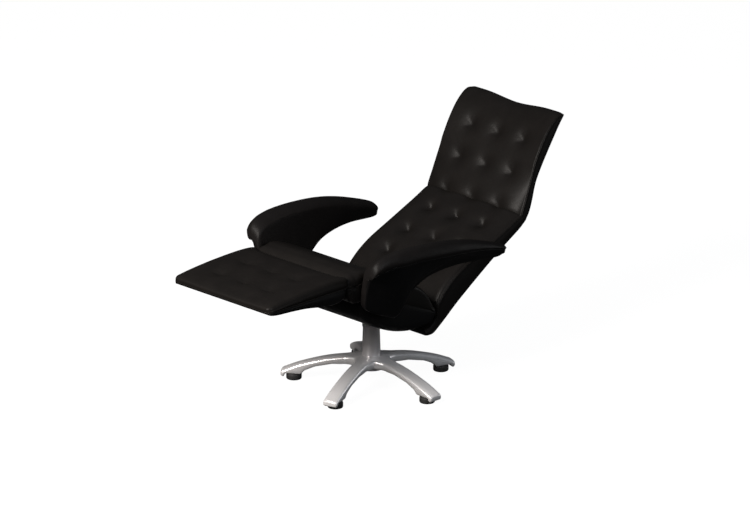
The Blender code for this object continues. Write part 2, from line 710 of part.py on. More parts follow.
def build_seat_soft(leather, liner):
    """The seat cushion with its knee roll, and the belly that closes it from below."""
    roll = arc(FOOT_AXIS, KNEE_RADIUS, KNEE_CUT_ANGLE, 90.0, 7)
    tail = [SEAT_TAIL_END]
    front = spline(roll + list(SEAT_TOP) + tail, 30)
    hollow = arc(FOOT_AXIS, KNEE_HOLLOW, KNEE_CUT_ANGLE, 15.0, 8)
    under = [(y, seam_height(y)) for y in (-0.280, -0.200, -0.100, 0.000, 0.060)]
    rear = evenly([roll[0]] + hollow + under + tail, 30)
    cushion = pillow(front, rear, SEAT_HALF_WIDTH, 0.004, columns=12, seam=0.12)
    seat = add_object("seat_cushion", cushion, leather)
    cut_slots(seat, "seat_tail", (0.030, 0.279), (0.110, 0.352), leather)
    cut_slots(seat, "seat_knee", (-0.380, 0.470), (-0.285, 0.5145), leather)

    tail_arc = arc(BACK_AXIS, TAIL_RADIUS, -80.0, 5.0, 6)
    outline = list(BELLY_UNDER) + tail_arc
    top = [(y, seam_height(y) - GAP) for y in (0.082, 0.040, -0.255)]
    belly_side = [tuple(p) for p in spline(outline, 20)] + top
    stations = (-1.0, -0.965, -0.86, -0.60, -0.30, 0.0, 0.30, 0.60, 0.86, 0.965, 1.0)
    rings = []
    for u in stations:
        lift = 0.022 * abs(u) ** 6
        ring = []
        for y, z in belly_side:
            room = seam_height(y) - GAP - z
            rounded = min(1.0, room / 0.06) * lift * (1.0 if y < 0.03 else 0.35)
            ring.append((u * SEAT_HALF_WIDTH, y, z + min(rounded, 0.5 * room)))
        rings.append(ring)
    belly = add_object("belly_shell", loft(rings), liner)
    inner = [tuple(p) for p in offset_curve(spline(outline, 20), BELLY_WALL)]
    inner = [p for p in inner if p[1] < seam_height(p[0]) - 0.004]
    lid = [(0.082 - BELLY_WALL, 0.345), (-0.284 + BELLY_WALL, 0.500)]
    hollow_half = SEAT_HALF_WIDTH - 1.2 * BELLY_WALL
    cavity = prism(inner + lid, -hollow_half, hollow_half)
    join_pieces(belly, add_object("guide_belly_cavity", cavity, liner), "DIFFERENCE")
    mouth = box(
        (-BRACKET_HALF_WIDTH - 0.012, -0.105, 0.200), (BRACKET_HALF_WIDTH + 0.012, 0.046, 0.300)
    )
    join_pieces(belly, add_object("guide_belly_mouth", mouth, liner), "DIFFERENCE")
    cut_slots(belly, "belly_tail", (0.030, 0.279), (0.110, 0.352), liner)
    sweep = box((STRUT_X - 0.014, 0.000, 0.2645), (STRUT_X + 0.010, 0.050, 0.310))
    join_pieces(belly, add_object("guide_crank_sweep", sweep, liner), "DIFFERENCE")
    lever_ends = (-SEAT_HALF_WIDTH - 0.0225, -SEAT_HALF_WIDTH + 0.0225)
    lever_bore = cross_rod(LEVER_AXIS, LEVER_SHAFT_RADIUS + 0.001, *lever_ends)
    join_pieces(belly, add_object("guide_lever_bore", lever_bore, liner), "DIFFERENCE")
    for side in (1, -1):
        for k, place in enumerate(BOLT_PLACES):
            ends = sorted((side * (PLATE_X + PLATE_THICKNESS), side * (SEAT_HALF_WIDTH + 0.0075)))
            bore = cross_rod(place, BOLT_RADIUS + GAP, *ends)
            guide = add_object(f"guide_belly_bolt_{side + 1}_{k}", bore, liner)
            join_pieces(belly, guide, "DIFFERENCE")


def strut_direction():
    """Unit (y, z) vector along which the gas spring's rod moves out."""
    start = STRUT_MID_ANGLE - BACK_TRAVEL / 2.0
    end = STRUT_MID_ANGLE + BACK_TRAVEL / 2.0
    along = Vector((math.cos(end) - math.cos(start), math.sin(end) - math.sin(start)))
    return along.normalized()


def strut_pin():
    """Place of the crank's pin in the lying pose."""
    start = STRUT_MID_ANGLE - BACK_TRAVEL / 2.0
    return (
        BACK_AXIS[0] + STRUT_CRANK * math.cos(start),
        BACK_AXIS[1] + STRUT_CRANK * math.sin(start),
    )


def strut_point(distance):
    """A (y, z) point on the gas spring's line, counted from the crank's pin."""
    pin, along = strut_pin(), strut_direction()
    return (pin[0] - distance * along[0], pin[1] - distance * along[1])


def build_strut(steel, painted):
    """The gas spring's body, fixed to the front cross tube, and its sliding rod."""
    body_start = strut_point(STRUT_ROD_SHOWN)
    body_end = strut_point(STRUT_ROD_SHOWN + STRUT_BODY_LENGTH)
    body = rod((STRUT_X, *body_start), (STRUT_X, *body_end), STRUT_BODY_RADIUS)
    cylinder = add_object("strut_cylinder", body, painted)
    bore_from, bore_to = strut_point(STRUT_ROD_SHOWN - 0.01), strut_point(STRUT_ROD_SHOWN + 0.075)
    bore = rod((STRUT_X, *bore_from), (STRUT_X, *bore_to), STRUT_ROD_RADIUS + RUNNING_GAP)
    join_pieces(cylinder, add_object("guide_strut_bore", bore, painted), "DIFFERENCE")
    eye_inner = STRUT_PIN_RADIUS + STRUT_EYE_PLAY
    eye_outer = eye_inner + 0.0036
    near, far = strut_point(eye_inner + 0.001), strut_point(STRUT_ROD_SHOWN + 0.045)
    rod_shape = rod((STRUT_X, *near), (STRUT_X, *far), STRUT_ROD_RADIUS)
    strut_rod = add_object("strut_rod", rod_shape, steel)
    half = 0.003
    eye = cross_rod(strut_pin(), eye_outer, STRUT_X - half, STRUT_X + half)
    join_pieces(strut_rod, add_object("guide_strut_eye", eye, steel), "UNION")
    hole = cross_rod(strut_pin(), eye_inner, STRUT_X - 2 * half, STRUT_X + 2 * half)
    join_pieces(strut_rod, add_object("guide_strut_eye_hole", hole, steel), "DIFFERENCE")


def build_back_axle(steel):
    """The shaft that the back turns on, with the crank that the gas spring holds."""
    reach = link_faces(1)[1] + 0.003
    shaft = cross_rod(BACK_AXIS, BACK_AXLE_RADIUS, -reach, reach)
    axle = add_object("back_axle", shaft, steel, (0.0, *BACK_AXIS))
    crank_faces = (STRUT_X - 0.0105, STRUT_X - 0.0045)
    crank = prism(bar_outline(BACK_AXIS, strut_pin(), 0.011, 0.0075), *crank_faces)
    join_pieces(axle, add_object("guide_crank", crank, steel), "UNION")
    pin = cross_rod(strut_pin(), STRUT_PIN_RADIUS, crank_faces[0] + 0.001, STRUT_X + 0.006)
    join_pieces(axle, add_object("guide_crank_pin", pin, steel), "UNION")


def bore_plate(plate, name, axis, radius, faces, finish):
    bore = cross_rod(axis, radius, faces[0] - 0.01, faces[1] + 0.01)
    join_pieces(plate, add_object(f"guide_{name}", bore, finish), "DIFFERENCE")


def back_curves():
    rear = spline(BACK_REAR, 28)
    front = spline([BACK_REAR[0]] + BACK_FRONT_FOOT + list(BACK_FRONT) + [BACK_REAR[-1]], 28)
    return front, rear


def tuft_places(curve, rows, half_width):
    """Three tufts across at each of the named shares of a side curve."""
    places = []
    for share in rows:
        y, z = curve[round(share * (len(curve) - 1))]
        places += [(x, y, z) for x in (-TUFT_SPACING, 0.0, TUFT_SPACING) if abs(x) < half_width]
    return places


def rear_cover(rear):
    """A thin shell along the rear side curve, turned in a little at its sides."""
    inner = offset_curve(rear, BACK_SHELL)
    turned_in = offset_curve(rear, SHELL_ROLL)
    rings = []
    for u in (-1.0, -0.965, -0.5, 0.5, 0.965, 1.0):
        outer = turned_in if abs(u) == 1.0 else rear
        rings.append([(u * SHELL_HALF_WIDTH, *p) for p in np.vstack([outer, inner[::-1]])])
    return loft(rings)


def build_back(leather, liner, steel):
    """The back: two rails and three bars between a tufted cushion and a rear shell."""
    front, rear = back_curves()
    face = offset_curve(rear, BACK_SHELL + FRAME_LAYER)
    toe = np.array(BACK_FRONT_FOOT[0]) + (0.004, -0.004)
    soft_front = spline(np.vstack([toe, BACK_FRONT_FOOT, BACK_FRONT, face[-1]]), 28)
    soft_rear = spline(np.vstack([toe, face[4:]]), 28)
    tufts = tuft_places(front, (0.56, 0.72, 0.88), BACK_HALF_WIDTH)
    cushion_shape = pillow(
        soft_front, soft_rear, BACK_HALF_WIDTH, 0.006, seam=0.85, tufts=tufts, bolster=0.004
    )
    cushion = add_object("back_cushion", cushion_shape, leather, (0.0, *BACK_AXIS))
    shell = add_object("back_shell", rear_cover(rear), liner, (0.0, *BACK_AXIS))
    layer = offset_curve(rear, BACK_SHELL + 0.5 * FRAME_LAYER)
    knee = layer[9]
    lead = np.array(FOLD) - layer[-1]
    upper = np.vstack([layer[9:], FOLD + 0.004 * lead / np.linalg.norm(lead)])
    for side, name in ((1, "left"), (-1, "right")):
        faces = link_faces(side)
        bar = bar_outline(BACK_AXIS, tuple(knee), 0.8 * PLATE_EYE, RAIL_DEPTH / 2.0)
        rail = add_object(f"back_rail_{name}", prism(bar, *faces), steel, (0.0, *BACK_AXIS))
        upright = add_object(f"guide_rail_{name}", prism(strip(upper, RAIL_DEPTH), *faces), steel)
        join_pieces(rail, upright, "UNION")
        bore_plate(rail, f"rail_foot_{name}", BACK_AXIS, BACK_AXLE_RADIUS + GAP, faces, steel)
        bore_plate(rail, f"rail_top_{name}", FOLD, FOLD_PIN_RADIUS + GAP, faces, steel)
    slot_low = (0.050, BACK_AXIS[1] - PLATE_EYE - SLOT_GAP)
    slot_high = (knee[0] + RAIL_DEPTH, knee[1] + RAIL_DEPTH)
    cut_slots(cushion, "back_foot", slot_low, slot_high, leather)
    reach = link_faces(1)[0] - GAP
    for k, share in enumerate((0.42, 0.64, 0.86)):
        axis = tuple(layer[round(share * (len(layer) - 1))])
        add_object(f"back_bar_{k + 1}", cross_rod(axis, 0.004, -reach, reach, 12), steel)
    return shell


def build_head(leather, liner, steel):
    """The head section, hinged on the back's rails at the fold."""
    rear = spline(HEAD_REAR, 22)
    front = spline(HEAD_FRONT + (HEAD_REAR[-1],), 22)
    face = offset_curve(rear, BACK_SHELL + FRAME_LAYER)
    soft_front = spline(np.vstack([face[0], front]), 22)
    soft_rear = spline(np.vstack([face[:-3], rear[-1]]), 22)
    tufts = tuft_places(front, (0.0, 0.34, 0.66), BACK_HALF_WIDTH)
    shape = pillow(
        soft_front, soft_rear, BACK_HALF_WIDTH, 0.012, seam=0.85, tufts=tufts, bolster=0.005
    )
    add_object("head_cushion", shape, leather, (0.0, *FOLD))
    add_object("head_shell", rear_cover(rear[:-4]), liner, (0.0, *FOLD))
    layer = offset_curve(rear, BACK_SHELL + 0.5 * FRAME_LAYER)[:-5]
    lead = np.array(FOLD) - layer[0]
    path = np.vstack([FOLD + 0.004 * lead / np.linalg.norm(lead), layer])
    for side, name in ((1, "left"), (-1, "right")):
        shift = side * (LINK_THICKNESS + 0.001)
        faces = [x + shift for x in link_faces(side)]
        rail = add_object(
            f"head_rail_{name}", prism(strip(path, RAIL_DEPTH), *faces), steel, (0.0, *FOLD)
        )
        bore_plate(rail, f"head_rail_{name}", FOLD, FOLD_PIN_RADIUS + RUNNING_GAP, faces, steel)
        middle = side * (link_faces(1)[1] + 0.0005)
        pin_half = LINK_THICKNESS + 0.0025
        pin = cross_rod(FOLD, FOLD_PIN_RADIUS, middle - pin_half, middle + pin_half)
        add_object(f"head_pin_{name}", pin, steel, (0.0, *FOLD))
    reach = link_faces(1)[0] + LINK_THICKNESS + 0.001 - GAP
    for k, share in enumerate((0.35, 0.95)):
        axis = tuple(layer[round(share * (len(layer) - 1))])
        add_object(f"head_bar_{k + 1}", cross_rod(axis, 0.004, -reach, reach, 12), steel)


def build_footrest(leather, liner, steel, ply):
    """The footrest: two arms and a board between a tufted cushion and a padded underside."""
    reach = link_faces(1)[1] + 0.003
    shaft = cross_rod(FOOT_AXIS, FOOT_AXLE_RADIUS, -reach, reach)
    add_object("footrest_axle", shaft, steel, (0.0, *FOOT_AXIS))
    arm_high = FOOT_SEAM_Z - BOARD_THICKNESS - 0.0025
    arm_low = arm_high - 0.018
    for side, name in ((1, "left"), (-1, "right")):
        faces = link_faces(side)
        outline = arc(FOOT_AXIS, 0.0125, -60.0, 130.0, 9) + [
            (-0.345, arm_high),
            (-0.555, arm_high),
            (-0.560, arm_high - 0.005),
            (-0.545, arm_low + 0.004),
            (-0.400, arm_low),
            (-0.345, arm_low),
        ]
        arm = add_object(f"footrest_arm_{name}", prism(outline, *faces), steel, (0.0, *FOOT_AXIS))
        bore_plate(arm, f"foot_arm_{name}", FOOT_AXIS, FOOT_AXLE_RADIUS + GAP, faces, steel)
    board_low = (-BOARD_HALF_WIDTH, -0.715, arm_high + GAP)
    board_high = (BOARD_HALF_WIDTH, -0.392, FOOT_SEAM_Z - GAP)
    add_object("footrest_board", box(board_low, board_high), ply, (0.0, *FOOT_AXIS))
    top = spline((FOOT_FRONT_EDGE,) + FOOT_TOP + (FOOT_REAR_EDGE,), 22)
    bottom = evenly((FOOT_FRONT_EDGE, FOOT_REAR_EDGE), 22)
    bottom[1:-1, 1] = FOOT_SEAM_Z
    tufts = tuft_places(top, (0.34, 0.64), FOOT_HALF_WIDTH)
    cushion = pillow(top, bottom, FOOT_HALF_WIDTH, 0.012, seam=0.04, tufts=tufts)
    add_object("footrest_cushion", cushion, leather, (0.0, *FOOT_AXIS))
    lid_front, lid_rear = (-0.7370, FOOT_SEAM_Z - GAP), (-0.3450, FOOT_SEAM_Z - GAP)
    lid = evenly((lid_front, lid_rear), 16)
    under = spline((lid_front,) + FOOT_UNDER + (lid_rear,), 16)
    pad = pillow(lid, under, FOOT_HALF_WIDTH, 0.012, columns=10, seam=0.96)
    underside = add_object("footrest_underside", pad, liner, (0.0, *FOOT_AXIS))
    pocket = box(
        (board_low[0] - GAP, board_low[1] - GAP, board_low[2] - GAP),
        (board_high[0] + GAP, board_high[1] + GAP, board_high[2] + 0.01),
    )
    join_pieces(underside, add_object("guide_board_pocket", pocket, liner), "DIFFERENCE")
    cut_slots(underside, "foot_arms", (-0.5620, arm_low - GAP), (-0.300, 0.530), liner)


def breadth(y, table):
    """The x that a table of breadths gives at y."""
    return SEAT_HALF_WIDTH + np.interp(y, *zip(*table))


def arm_body(side):
    """An arm's whole padded shape, lofted from its front edge to its rear tip."""
    stations = 20
    ridges = spline(ARM_RIDGE, stations)
    outers = spline(ARM_OUTER_EDGE, stations)
    inners = spline(ARM_INNER_EDGE, stations)
    rings = []
    for k, (ridge, outer, inner) in enumerate(zip(ridges, outers, inners)):
        narrow = (0.42, 0.80, 0.96, 1.0)[min(k, stations - 1 - k, 3)]
        ends = [breadth(ridge[0], table) for table in (ARM_TOP_INSIDE, ARM_TOP_OUTSIDE)]
        feet = [breadth(inner[0], ARM_FOOT_INSIDE), breadth(outer[0], ARM_FOOT_OUTSIDE)]
        top_middle, foot_middle = sum(ends) / 2.0, sum(feet) / 2.0
        left, right = [top_middle + narrow * (x - top_middle) for x in ends]
        foot_left, foot_right = [foot_middle + narrow * (x - foot_middle) for x in feet]
        wide = right - left
        fall = min(0.036, 0.4 * (ridge[1] - inner[1]))
        section = (
            (foot_left, inner + (0.0, 0.25 * fall)),
            (0.35 * left + 0.65 * foot_left, 0.35 * ridge + 0.65 * inner),
            (left, ridge - (0.0, fall)),
            (left + 0.08 * wide, ridge - (0.0, 0.62 * fall)),
            (left + 0.30 * wide, ridge - (0.0, 0.28 * fall)),
            (left + 0.66 * wide, ridge),
            (left + 0.88 * wide, ridge - (0.0, 0.16 * fall)),
            (right, ridge - (0.0, 0.62 * fall)),
            (0.45 * right + 0.55 * foot_right, 0.45 * ridge + 0.55 * outer),
            (foot_right, outer + (0.0, 0.20 * fall)),
            (0.25 * foot_left + 0.75 * foot_right, 0.2 * inner + 0.8 * outer),
            (0.75 * foot_left + 0.25 * foot_right, 0.85 * inner + 0.15 * outer),
        )
        rings.append([(side * x, *p) for x, p in section])
    return loft(rings)


def leaned(shape, side):
    """Leans a shape outwards as an arm leans."""
    for vert in shape.verts:
        vert.co.x += side * ARM_LEAN * (vert.co.z - ARM_LEAN_FROM)
    return shape


def panel_block(side, inset):
    """The space below the arm's seam and outside its board, that the outer panel fills."""
    rings = []
    for y, seam in ARM_SEAM:
        inside = breadth(y, PANEL_INSIDE) + inset
        outside = SEAT_HALF_WIDTH + PANEL_REACH
        corners = ((inside, 0.30), (outside, 0.30), (outside, seam - inset), (inside, seam - inset))
        rings.append([(side * x, y, z) for x, z in corners])
    return leaned(loft(rings), side)


def build_arms(leather, grained, ply, steel):
    """Each arm: a board bolted to the seat plate, the pad over it and the outer side panel."""
    for side, name in ((1, "left"), (-1, "right")):
        pad = add_object(f"arm_pad_{name}", arm_body(side), leather)
        panel = add_object(f"arm_panel_{name}", arm_body(side), grained)
        keep = add_object(f"guide_panel_{name}", panel_block(side, GAP), grained)
        join_pieces(panel, keep, "INTERSECT")
        cut = add_object(f"guide_pad_{name}", panel_block(side, 0.0), leather)
        join_pieces(pad, cut, "DIFFERENCE")
        faces = sorted((side * CORE_INSIDE, side * (CORE_INSIDE + ARM_CORE_THICKNESS)))
        core = leaned(prism(CORE_OUTLINE, *faces), side)
        core = add_object(f"arm_core_{name}", core, ply)
        pocket_faces = sorted((side * (CORE_INSIDE - GAP), side * (CORE_INSIDE + 0.03)))
        pocket = leaned(prism(grow(CORE_OUTLINE, GAP), *pocket_faces), side)
        join_pieces(pad, add_object(f"guide_pocket_{name}", pocket, leather), "DIFFERENCE")
        for k, place in enumerate(BOLT_PLACES):
            ends = sorted((side * (PLATE_X + PLATE_THICKNESS + GAP), side * (CORE_INSIDE - 0.001)))
            stud = cross_rod(place, BOLT_RADIUS, *ends)
            add_object(f"arm_stud_{name}_{k + 1}", stud, steel)
            deep = sorted((side * (PLATE_X + 0.034), side * (CORE_INSIDE - 0.001 + GAP)))
            for target, finish, word in ((pad, leather, "pad"), (core, ply, "core")):
                hole = cross_rod(place, BOLT_RADIUS + GAP, *deep)
                guide = add_object(f"guide_stud_{word}_{name}_{k + 1}", hole, finish)
                join_pieces(target, guide, "DIFFERENCE")


def grow(outline, distance):
    """A closed outline moved outwards by a distance at each of its points."""
    points = np.array(outline, float)
    ahead = np.roll(points, -1, axis=0) - points
    behind = points - np.roll(points, 1, axis=0)
    following = np.roll(points, -1, axis=0)
    area = np.sum(points[:, 0] * following[:, 1] - following[:, 0] * points[:, 1])
    sign = 1.0 if area > 0 else -1.0
    moved = []
    for point, first, second in zip(points, behind, ahead):
        normals = [np.array((v[1], -v[0])) / np.linalg.norm(v) for v in (first, second)]
        bisector = normals[0] + normals[1]
        bisector /= max(0.25, float(bisector @ bisector) / 2.0)
        moved.append(tuple(point + sign * distance * bisector))
    return moved


def build_lever(steel, grip_finish):
    """The release lever: a shaft through the belly's side and a grip on its handle."""
    start = -(PLATE_X + PLATE_THICKNESS + GAP)
    inner = -(SEAT_HALF_WIDTH + LEVER_STANDOFF)
    outer = inner - LEVER_THICKNESS
    shaft = cross_rod(LEVER_AXIS, LEVER_SHAFT_RADIUS, inner - 0.002, start)
    lever = add_object("release_lever", shaft, steel, (0.0, *LEVER_AXIS))
    tip = (LEVER_AXIS[0] - 0.55 * LEVER_REACH, LEVER_AXIS[1] - 0.12 * LEVER_REACH)
    handle = prism(bar_outline(LEVER_AXIS, tip, 0.011, 0.007), outer, inner)
    join_pieces(lever, add_object("guide_lever_handle", handle, steel), "UNION")
    end = (LEVER_AXIS[0] - LEVER_REACH, LEVER_AXIS[1] - 0.22 * LEVER_REACH)
    grip = prism(bar_outline(tip, end, 0.011, 0.009), outer - 0.003, inner + 0.003)
    grip = add_object("lever_grip", grip, grip_finish, (0.0, *LEVER_AXIS))
    socket = prism(grow(bar_outline(LEVER_AXIS, tip, 0.011, 0.007), GAP), outer - GAP, inner + GAP)
    join_pieces(grip, add_object("guide_grip_socket", socket, grip_finish), "DIFFERENCE")


def build_chair():
    leather = make_material("leather", (0.014, 0.0125, 0.0118), 0.42)
    grained = make_material("grained_leather", (0.011, 0.0100, 0.0096), 0.55)
    liner = make_material("back_leather", (0.008, 0.0076, 0.0076), 0.50)
    metal = make_material("satin_aluminium", (0.66, 0.64, 0.63), 0.28, 1.0)
    tube = make_material("satin_steel", (0.50, 0.48, 0.47), 0.32, 1.0)
    painted = make_material("painted_steel", (0.05, 0.05, 0.05), 0.45)
    zinc = make_material("zinc_steel", (0.58, 0.58, 0.56), 0.40, 1.0)
    rubber = make_material("black_rubber", (0.02, 0.02, 0.02), 0.75)
    plastic = make_material("bush_plastic", (0.75, 0.74, 0.70), 0.50)
    grip = make_material("black_plastic", (0.03, 0.03, 0.03), 0.45)
    ply = make_material("plywood", (0.55, 0.40, 0.24), 0.65)
    thrust_height, bush_foot = build_base(metal, rubber, tube, plastic)
    build_carriage(zinc, zinc, thrust_height, bush_foot)
    build_seat_frame(painted, ply)
    build_seat_soft(leather, liner)
    build_strut(zinc, painted)
    build_back_axle(zinc)
    build_back(leather, liner, painted)
    build_head(leather, liner, painted)
    build_footrest(leather, liner, painted, ply)
    build_arms(leather, grained, ply, zinc)
    build_lever(painted, grip)


clear_scene()
build_chair()
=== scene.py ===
"""Looks, camera and light for the reclined leather armchair."""

import json
import math

import bmesh
import bpy
import numpy as np
from mathutils import Matrix, Vector


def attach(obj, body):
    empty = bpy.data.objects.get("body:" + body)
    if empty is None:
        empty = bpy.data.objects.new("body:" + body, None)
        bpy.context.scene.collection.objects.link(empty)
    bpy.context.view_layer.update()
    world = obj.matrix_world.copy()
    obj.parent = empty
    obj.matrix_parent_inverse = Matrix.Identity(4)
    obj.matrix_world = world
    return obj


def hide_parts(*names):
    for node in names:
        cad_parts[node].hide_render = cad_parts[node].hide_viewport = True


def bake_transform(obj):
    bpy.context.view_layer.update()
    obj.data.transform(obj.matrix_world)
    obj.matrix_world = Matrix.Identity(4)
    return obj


# Camera: looks down on the chair from its left front
PIXELS_PER_METRE = 280.0
IMAGE_WIDTH = 750.0
CAMERA_DISTANCE = 25.0
TOWARD_CAMERA = (0.6665, -0.6665, 0.3338)
RIGHT_IN_VIEW = (0.7071, 0.7071, 0.0)
AIM_RIGHT, AIM_UP = 0.0132, 0.4246  # middle of the picture, from the foot of the column

# Light: name, place, aim, size, power and colour of each lamp
LAMPS = (
    ("key_light", (0.10, -3.65, 2.75), (0.0, 0.0, 0.5), 2.0, 315.0, (1.0, 0.95, 0.90)),
    ("fill_light", (3.2, -0.6, 2.4), (0.0, 0.0, 0.4), 2.0, 32.0, (0.86, 0.93, 1.0)),
    ("rear_light", (2.2, 3.6, 0.7), (0.0, 0.0, 0.4), 1.2, 14.0, (0.98, 0.99, 1.0)),
)
DOME = ((0.0, 0.03), (0.34, 0.03), (0.70, 0.14), (1.00, 0.40))  # level by height
DOME_TINT = (0.96, 0.98, 1.04)
FLOOR_RADIUS = 8.0
FLOOR_Z = -0.0005  # just below the glides
FLOOR_SHADE = 0.10  # share of light and shadow that the camera sees on the floor
FLOOR_GLOW = 0.965
FLOOR_BOUNCE = 0.012
FLOOR_GLEAM = 0.04  # the floor as mirrored in the metal

# Widths and axes of the chair, as in the part's source
BACK_HALF_WIDTH = 0.236
HEAD_HALF_WIDTH = 0.231
SEAT_HALF_WIDTH = 0.2375
FOOT_HALF_WIDTH = 0.242
BACK_AXIS = (0.040, 0.303)
FOOT_AXIS = (-0.315, 0.502)
KNEE_RADIUS = 0.0455
BACK_FOOT_RADIUS = 0.0523
SEAT_TAIL_RADIUS = 0.0455

# Crown of the back's front face: flat across the middle, it falls away towards the side seams
SHOULDER = 0.112  # half width of the flat part at the head
SHOULDER_EDGE = 0.024  # what it leaves free of the side seam lower down
SHOULDER_START, SHOULDER_RUN = 45, 48.0  # row where it starts to narrow, and over how many rows

BACK_PIPING, FOOT_PIPING, ARM_PIPING = 0.0019, 0.0022, 0.0016  # radii of the seam cords

# Openings, as reaches in x, y and z: in the seat for a rail of the back, in the belly for the bracket
RAIL_SLOT = ((0.191, 0.199), (0.030, 0.110), (0.270, 0.353))
BRACKET_MOUTH = ((-0.070, 0.070), (-0.112, 0.052), (0.190, 0.360))

# Rows of points along each cushion, columns across it, steps down a side band, and the piping's columns
BACK_ROWS = 96
HEAD_ROWS = 72
SEAT_ROWS = 90
FOOT_ROWS = 110
UNDER_ROWS = 80
BELLY_ROWS = 60
GUSSET_ROWS = 40
COLUMNS = 72
BAND_STEPS = 6
BACK_SEAM_COLUMNS = (("left", 78), ("right", 164), ("rear_left", 97), ("rear_right", 145))
TUCK = 0.0015  # how far a rear face stays inside its side bands
LEAST_EDGE = 0.0012  # what a side band leaves free of the rear face, at least
CORNER_ANGLE = 1.0  # edges bent more than this, in radians, are shaded sharp

# Side curves of the back and head, as (y, z): along the middle of the front face
BACK_MIDDLE = (
    (0.1000, 0.3430),
    (0.1370, 0.3870),
    (0.1980, 0.4310),
    (0.3000, 0.4820),
    (0.4150, 0.5360),
    (0.4700, 0.5640),
    (0.5000, 0.5820),
)
HEAD_MIDDLE = (
    (0.5000, 0.5820),
    (0.5150, 0.6030),
    (0.5380, 0.6390),
    (0.5700, 0.6880),
    (0.5990, 0.7400),
    (0.6330, 0.7950),
    (0.6710, 0.8420),
    (0.7050, 0.8690),
    (0.7330, 0.8800),
)
# and along the rear cover
BACK_REAR = (
    (0.0400, 0.2270),
    (0.0640, 0.2215),
    (0.0900, 0.2250),
    (0.1370, 0.2560),
    (0.1980, 0.3020),
    (0.2630, 0.3460),
    (0.3600, 0.4090),
    (0.4500, 0.4640),
    (0.5200, 0.5040),
    (0.5540, 0.5290),
)
HEAD_REAR = (
    (0.5540, 0.5290),
    (0.5740, 0.5600),
    (0.5890, 0.5980),
    (0.6090, 0.6580),
    (0.6420, 0.7160),
    (0.6770, 0.7700),
    (0.7130, 0.8240),
    (0.7450, 0.8740),
)
FOLD = (0.5020, 0.5800)  # crease between back and head, on the front face
CREASES = ((0.0040, 0.0045), (0.0030, 0.0160))  # its pinch and its hollow, as (depth, spread)
# How far the side seams lie below the middle, by share of the way up the back, then up the head
BACK_SIDE_DROP = ((0.0, 0.0), (0.16, 0.004), (0.24, 0.018), (0.5, 0.024), (0.8, 0.028), (1.0, 0.036))
HEAD_SIDE_DROP = ((0.0, 0.036), (0.14, 0.026), (0.3, 0.008), (0.45, -0.004), (0.75, -0.010), (1.0, -0.009))
HEAD_CORNER = 0.016
BACK_END = (0.0360, 0.2370)  # where front face and rear cover meet below
HEAD_END = (0.7420, 0.8815)  # and above

# Tufts: rows as (y, z) on the back and as y on the footrest; each tuft's pinch, hollow and spread
BACK_TUFT_ROWS = (
    (0.1980, 0.4310),
    (0.3000, 0.4820),
    (0.4150, 0.5360),
    (0.5020, 0.5850),
    (0.5780, 0.6890),
    (0.6380, 0.7950),
)
BACK_TUFT_SPACING = 0.129
BACK_TUFT = (0.0120, 0.0075, 0.034)
LOW_TUFTS_BELOW, LOW_TUFT_SHARE = 0.56, 1.7  # tufts below this height are sunk this much deeper
FOOT_TUFT_ROWS = (-0.490, -0.622)
FOOT_TUFT_SPACING = 0.122
FOOT_TUFT = (0.0062, 0.0050, 0.036)
TUFT_REACH = 0.12  # beyond this a tuft changes nothing

# Side curves of the seat, the belly and the two halves of the footrest, as (y, z)
SEAT_TOP = (
    (-0.2800, 0.5485),
    (-0.2300, 0.5350),
    (-0.1400, 0.4950),
    (-0.0140, 0.4310),
    (0.0360, 0.3950),
    (0.0650, 0.3550),
    (0.0820, 0.3240),
    (0.0857, 0.3090),
)
# Seam between seat and belly, in the side view: a sloping line that runs through these places
SEAT_SEAM_Z = 0.345
SEAT_SEAM_SLOPE = -0.437
SEAT_SEAM_Y = (-0.280, -0.200, -0.100, 0.000, 0.060)

BELLY_UNDER = (
    (-0.2870, 0.4300),
    (-0.2850, 0.4050),
    (-0.2650, 0.3620),
    (-0.2000, 0.3180),
    (-0.1200, 0.2810),
    (-0.0400, 0.2610),
    (0.0200, 0.2575),
)
# Flat inner face of the belly, under the seat
BELLY_INNER = ((-0.2870, 0.4694), (0.0840, 0.3077))

FOOT_TOP = (
    (-0.7390, 0.5180),
    (-0.7340, 0.5260),
    (-0.7100, 0.5330),
    (-0.6500, 0.5400),
    (-0.5500, 0.5470),
    (-0.4300, 0.5500),
    (-0.3760, 0.5440),
    (-0.3640, 0.5280),
)
FOOT_UNDER = (
    (-0.7390, 0.5090),
    (-0.7300, 0.5000),
    (-0.6900, 0.4925),
    (-0.6200, 0.4870),
    (-0.5500, 0.4790),
    (-0.4700, 0.4640),
    (-0.4200, 0.4590),
    (-0.3800, 0.4640),
    (-0.3560, 0.4760),
)
# Flat inner faces of the footrest's lid and underside, and the height of the seam between them
FOOT_TOP_INNER = ((-0.7390, 0.5110), (-0.3630, 0.5110))
FOOT_UNDER_INNER = ((-0.7390, 0.5095), (-0.3460, 0.5095))
FOOT_SEAM_Z = 0.5100
FOOT_CORNER = 0.024

# Knee gussets: first and last angle in degrees round the footrest's axis, and how far each is set in
FRONT_GUSSET = (158.0, 234.0, 0.0004)
REAR_GUSSET = (214.0, 372.0, 0.0)
# and their reach from that axis, by angle
GUSSET_REACH = (
    (158.0, 0.0440),
    (196.0, 0.0450),
    (212.0, 0.0478),
    (250.0, 0.0580),
    (298.0, 0.0700),
    (330.0, 0.0560),
    (372.0, 0.0400),
)


def arc(centre, radius, start, end, count):
    """Points on an arc round (y, z), with angles in degrees from +Y towards +Z."""
    turns = [math.radians(start + (end - start) * k / (count - 1)) for k in range(count)]
    return [(centre[0] + radius * math.cos(a), centre[1] + radius * math.sin(a)) for a in turns]


